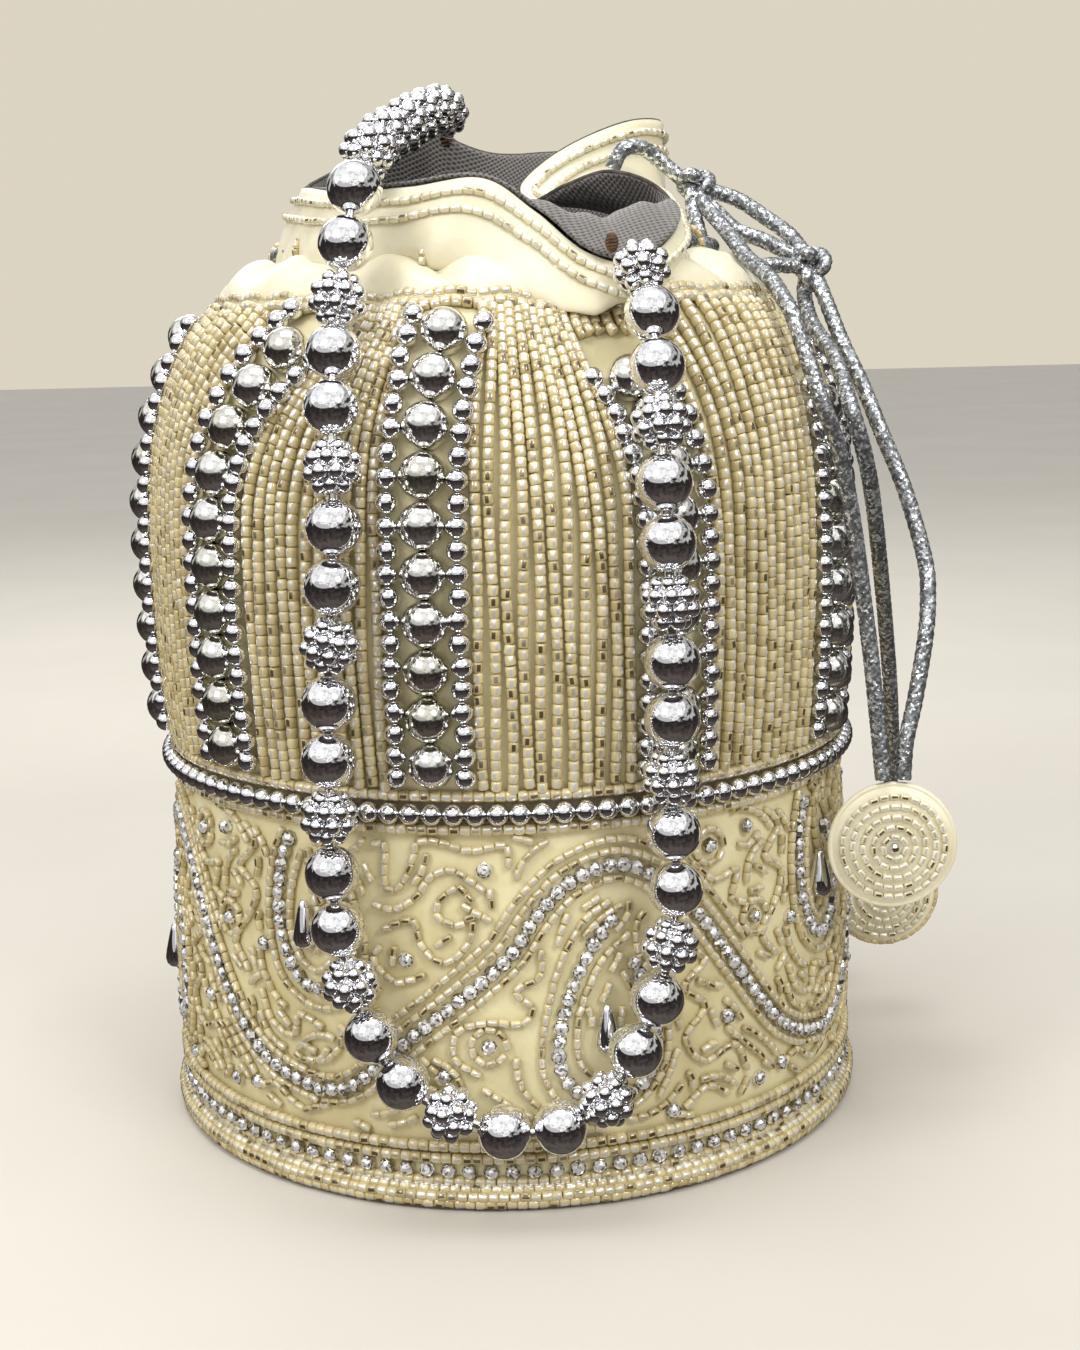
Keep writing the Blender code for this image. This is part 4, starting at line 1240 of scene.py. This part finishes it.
def disc(prefix, centre, body, node, rim_beads):
    """A padded satin disc that faces the front, with rings of seeds on both faces."""
    steps, rings = 96, 22
    spread = DISC_RADIUS * np.sin(np.linspace(0.02, math.pi / 2, rings))
    half = disc_face(spread)
    half[-1] = 0.0
    profile = np.concatenate([np.stack([spread, -half], 1), np.stack([spread, half], 1)[-2::-1]])
    angle = 2 * np.pi * np.arange(steps) / steps
    r, d = profile[None, :, 0], profile[None, :, 1]
    pinch = 1 - 0.05 * sum(np.exp(-((r - ring) / 0.8) ** 2) for ring in DISC_RINGS)
    points = np.stack([r * np.cos(angle)[:, None], d * pinch + 0 * angle[:, None], r * np.sin(angle)[:, None]], -1)
    item = grid(prefix + "_satin", points + np.array(centre), SATIN, body, flip=True)
    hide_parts(node)
    strings = []
    for face in (-1, 1):
        for ring in DISC_RINGS:
            turn = circle(89)
            line = np.stack([ring * np.cos(turn), face * (disc_face(np.full(89, ring)) + 0.35),
                             ring * np.sin(turn)], 1) + np.array(centre)
            strings.append((line, np.tile([[0, face, 0.0]], (89, 1)), True))
    pattern = seed_pattern(1.8, 0.66)
    seeds(prefix + "_seeds", strings, body=body, pattern=pattern, pitch=2.15, tone=PALE_GLASS)
    middle = np.array([[0, -DISC_HALF - 0.4, 0], [0, DISC_HALF + 0.4, 0]]) + np.array(centre)
    place_all(prefix + "_middle", ball_pattern(1.1, 12, 8), upright(np.array([[0, -1.0, 0], [0, 1.0, 0]])), middle,
              [MIRROR], body)
    turn = circle(119)
    spoke = np.stack([np.cos(turn), 0 * turn, np.sin(turn)], 1)
    rim = spoke * (DISC_RADIUS + 0.1) + np.array(centre)
    if rim_beads:
        seeds(prefix + "_rim", [(rim, spoke, True)], body=body, pattern=pattern, pitch=1.9)
    else:
        tube(prefix + "_rim", rim, 0.55, SATIN, body, closed=True, sides=10)
    return item


FRONT_DISC = disc("front_disc", (78.6, -45.4, 62.8), "front_disc", "front_tassel", False)
BACK_DISC = disc("back_disc", (89.8, 22, 31.2), "back_disc", "back_tassel", True)


# ---------------------------------------------------------------- finishes of the imported base parts

for node_name, finish in (("base_cover", SATIN), ("base_board", BOARD), ("wall_stiffener", BOARD)):
    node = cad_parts[node_name]
    node.data.materials.clear()
    node.data.materials.append(finish)


# ---------------------------------------------------------------- stage and light

FLOOR = matt("pale_floor", (0.62, 0.59, 0.53), (0.58, 0.55, 0.49), 6, 0.7, 0.0002)
FLOOR_REACH = 6000.0
floor = build("floor", [(-FLOOR_REACH, -FLOOR_REACH, -0.05), (FLOOR_REACH, -FLOOR_REACH, -0.05),
                        (FLOOR_REACH, FLOOR_REACH, -0.05), (-FLOOR_REACH, FLOOR_REACH, -0.05)],
              [(np.array([[0, 1, 2, 3]]), np.zeros(1, int))], [FLOOR], None, smooth=False)
floor.visible_glossy = False


def panel(name, where, size, watts, aim=(0, 0, 100), colour=(1, 1, 1)):
    data = bpy.data.lights.new(name, "AREA")
    data.shape = "RECTANGLE"
    data.size, data.size_y = size[0] * MM, size[1] * MM
    data.energy = watts
    data.color = colour
    item = bpy.data.objects.new(name, data)
    bpy.context.scene.collection.objects.link(item)
    item.location = Vector(where) * MM
    item.rotation_euler = (Vector(aim) - Vector(where)).to_track_quat("-Z", "Y").to_euler()


panel("key_left", (-620, -760, 900), (420, 420), 5, colour=(1, 0.98, 0.95))
panel("key_right", (560, -820, 820), (300, 300), 4.5, colour=(1, 0.99, 0.97))
panel("ceiling", (0, -120, 1250), (700, 500), 5)
panel("rear_soft", (-200, 760, 700), (700, 400), 2.5, colour=(1, 0.97, 0.92))


def dome_light():
    """Even light on the whole floor from a very wide source."""
    data = bpy.data.lights.new("wide_soft", "SUN")
    data.energy = 1.3
    data.angle = math.radians(120)
    item = bpy.data.objects.new("wide_soft", data)
    bpy.context.scene.collection.objects.link(item)
    item.rotation_euler = (math.radians(24), math.radians(-14), 0)


dome_light()


def make_world():
    """A plain pale room for the eye; polished beads see it as soft bright and dark bands."""
    world = bpy.data.worlds.new("studio")
    bpy.context.scene.world = world
    world.use_nodes = True
    tree = world.node_tree
    add = tree.nodes.new
    where = add("ShaderNodeTexCoord").outputs["Generated"]
    height = add("ShaderNodeSeparateXYZ")
    patches = add("ShaderNodeTexNoise")
    patches.inputs["Scale"].default_value = 3.1
    patches.inputs["Detail"].default_value = 1.0
    shifted = add("ShaderNodeMath")
    shifted.operation = "MULTIPLY_ADD"
    shifted.inputs[1].default_value = 0.9
    bands = add("ShaderNodeValToRGB")
    marks = bands.color_ramp.elements
    stops = [(0.0, (0.2, 0.17, 0.15)), (0.3, (0.1, 0.08, 0.075)), (0.5, (0.04, 0.034, 0.032)),
             (0.62, (0.06, 0.055, 0.05)), (0.68, (1.0, 0.97, 0.92)), (0.78, (1.0, 0.98, 0.95)),
             (0.83, (0.2, 0.19, 0.18)), (0.9, (0.9, 0.9, 0.9))]
    while len(marks) < len(stops):
        marks.new(0.5)
    for mark, (at, colour) in zip(marks, stops):
        mark.position = at
        mark.color = (*colour, 1)
    seen = add("ShaderNodeLightPath")
    mix = add("ShaderNodeMix")
    mix.data_type = "RGBA"
    mix.inputs["B"].default_value = (1.3, 1.2, 0.98, 1)
    tree.links.new(where, height.inputs[0])
    tree.links.new(where, patches.inputs["Vector"])
    half = add("ShaderNodeMath")
    half.operation = "MULTIPLY_ADD"
    half.inputs[1].default_value = 0.5
    half.inputs[2].default_value = 0.05
    tree.links.new(height.outputs["Z"], half.inputs[0])
    tree.links.new(patches.outputs["Fac"], shifted.inputs[0])
    tree.links.new(half.outputs["Value"], shifted.inputs[2])
    tree.links.new(shifted.outputs["Value"], bands.inputs["Fac"])
    tree.links.new(seen.outputs["Is Camera Ray"], mix.inputs["Factor"])
    tree.links.new(bands.outputs["Color"], mix.inputs["A"])
    tree.links.new(mix.outputs["Result"], tree.nodes["Background"].inputs["Color"])
    tree.nodes["Background"].inputs["Strength"].default_value = 0.55


make_world()
bpy.context.scene.view_settings.view_transform = "Standard"
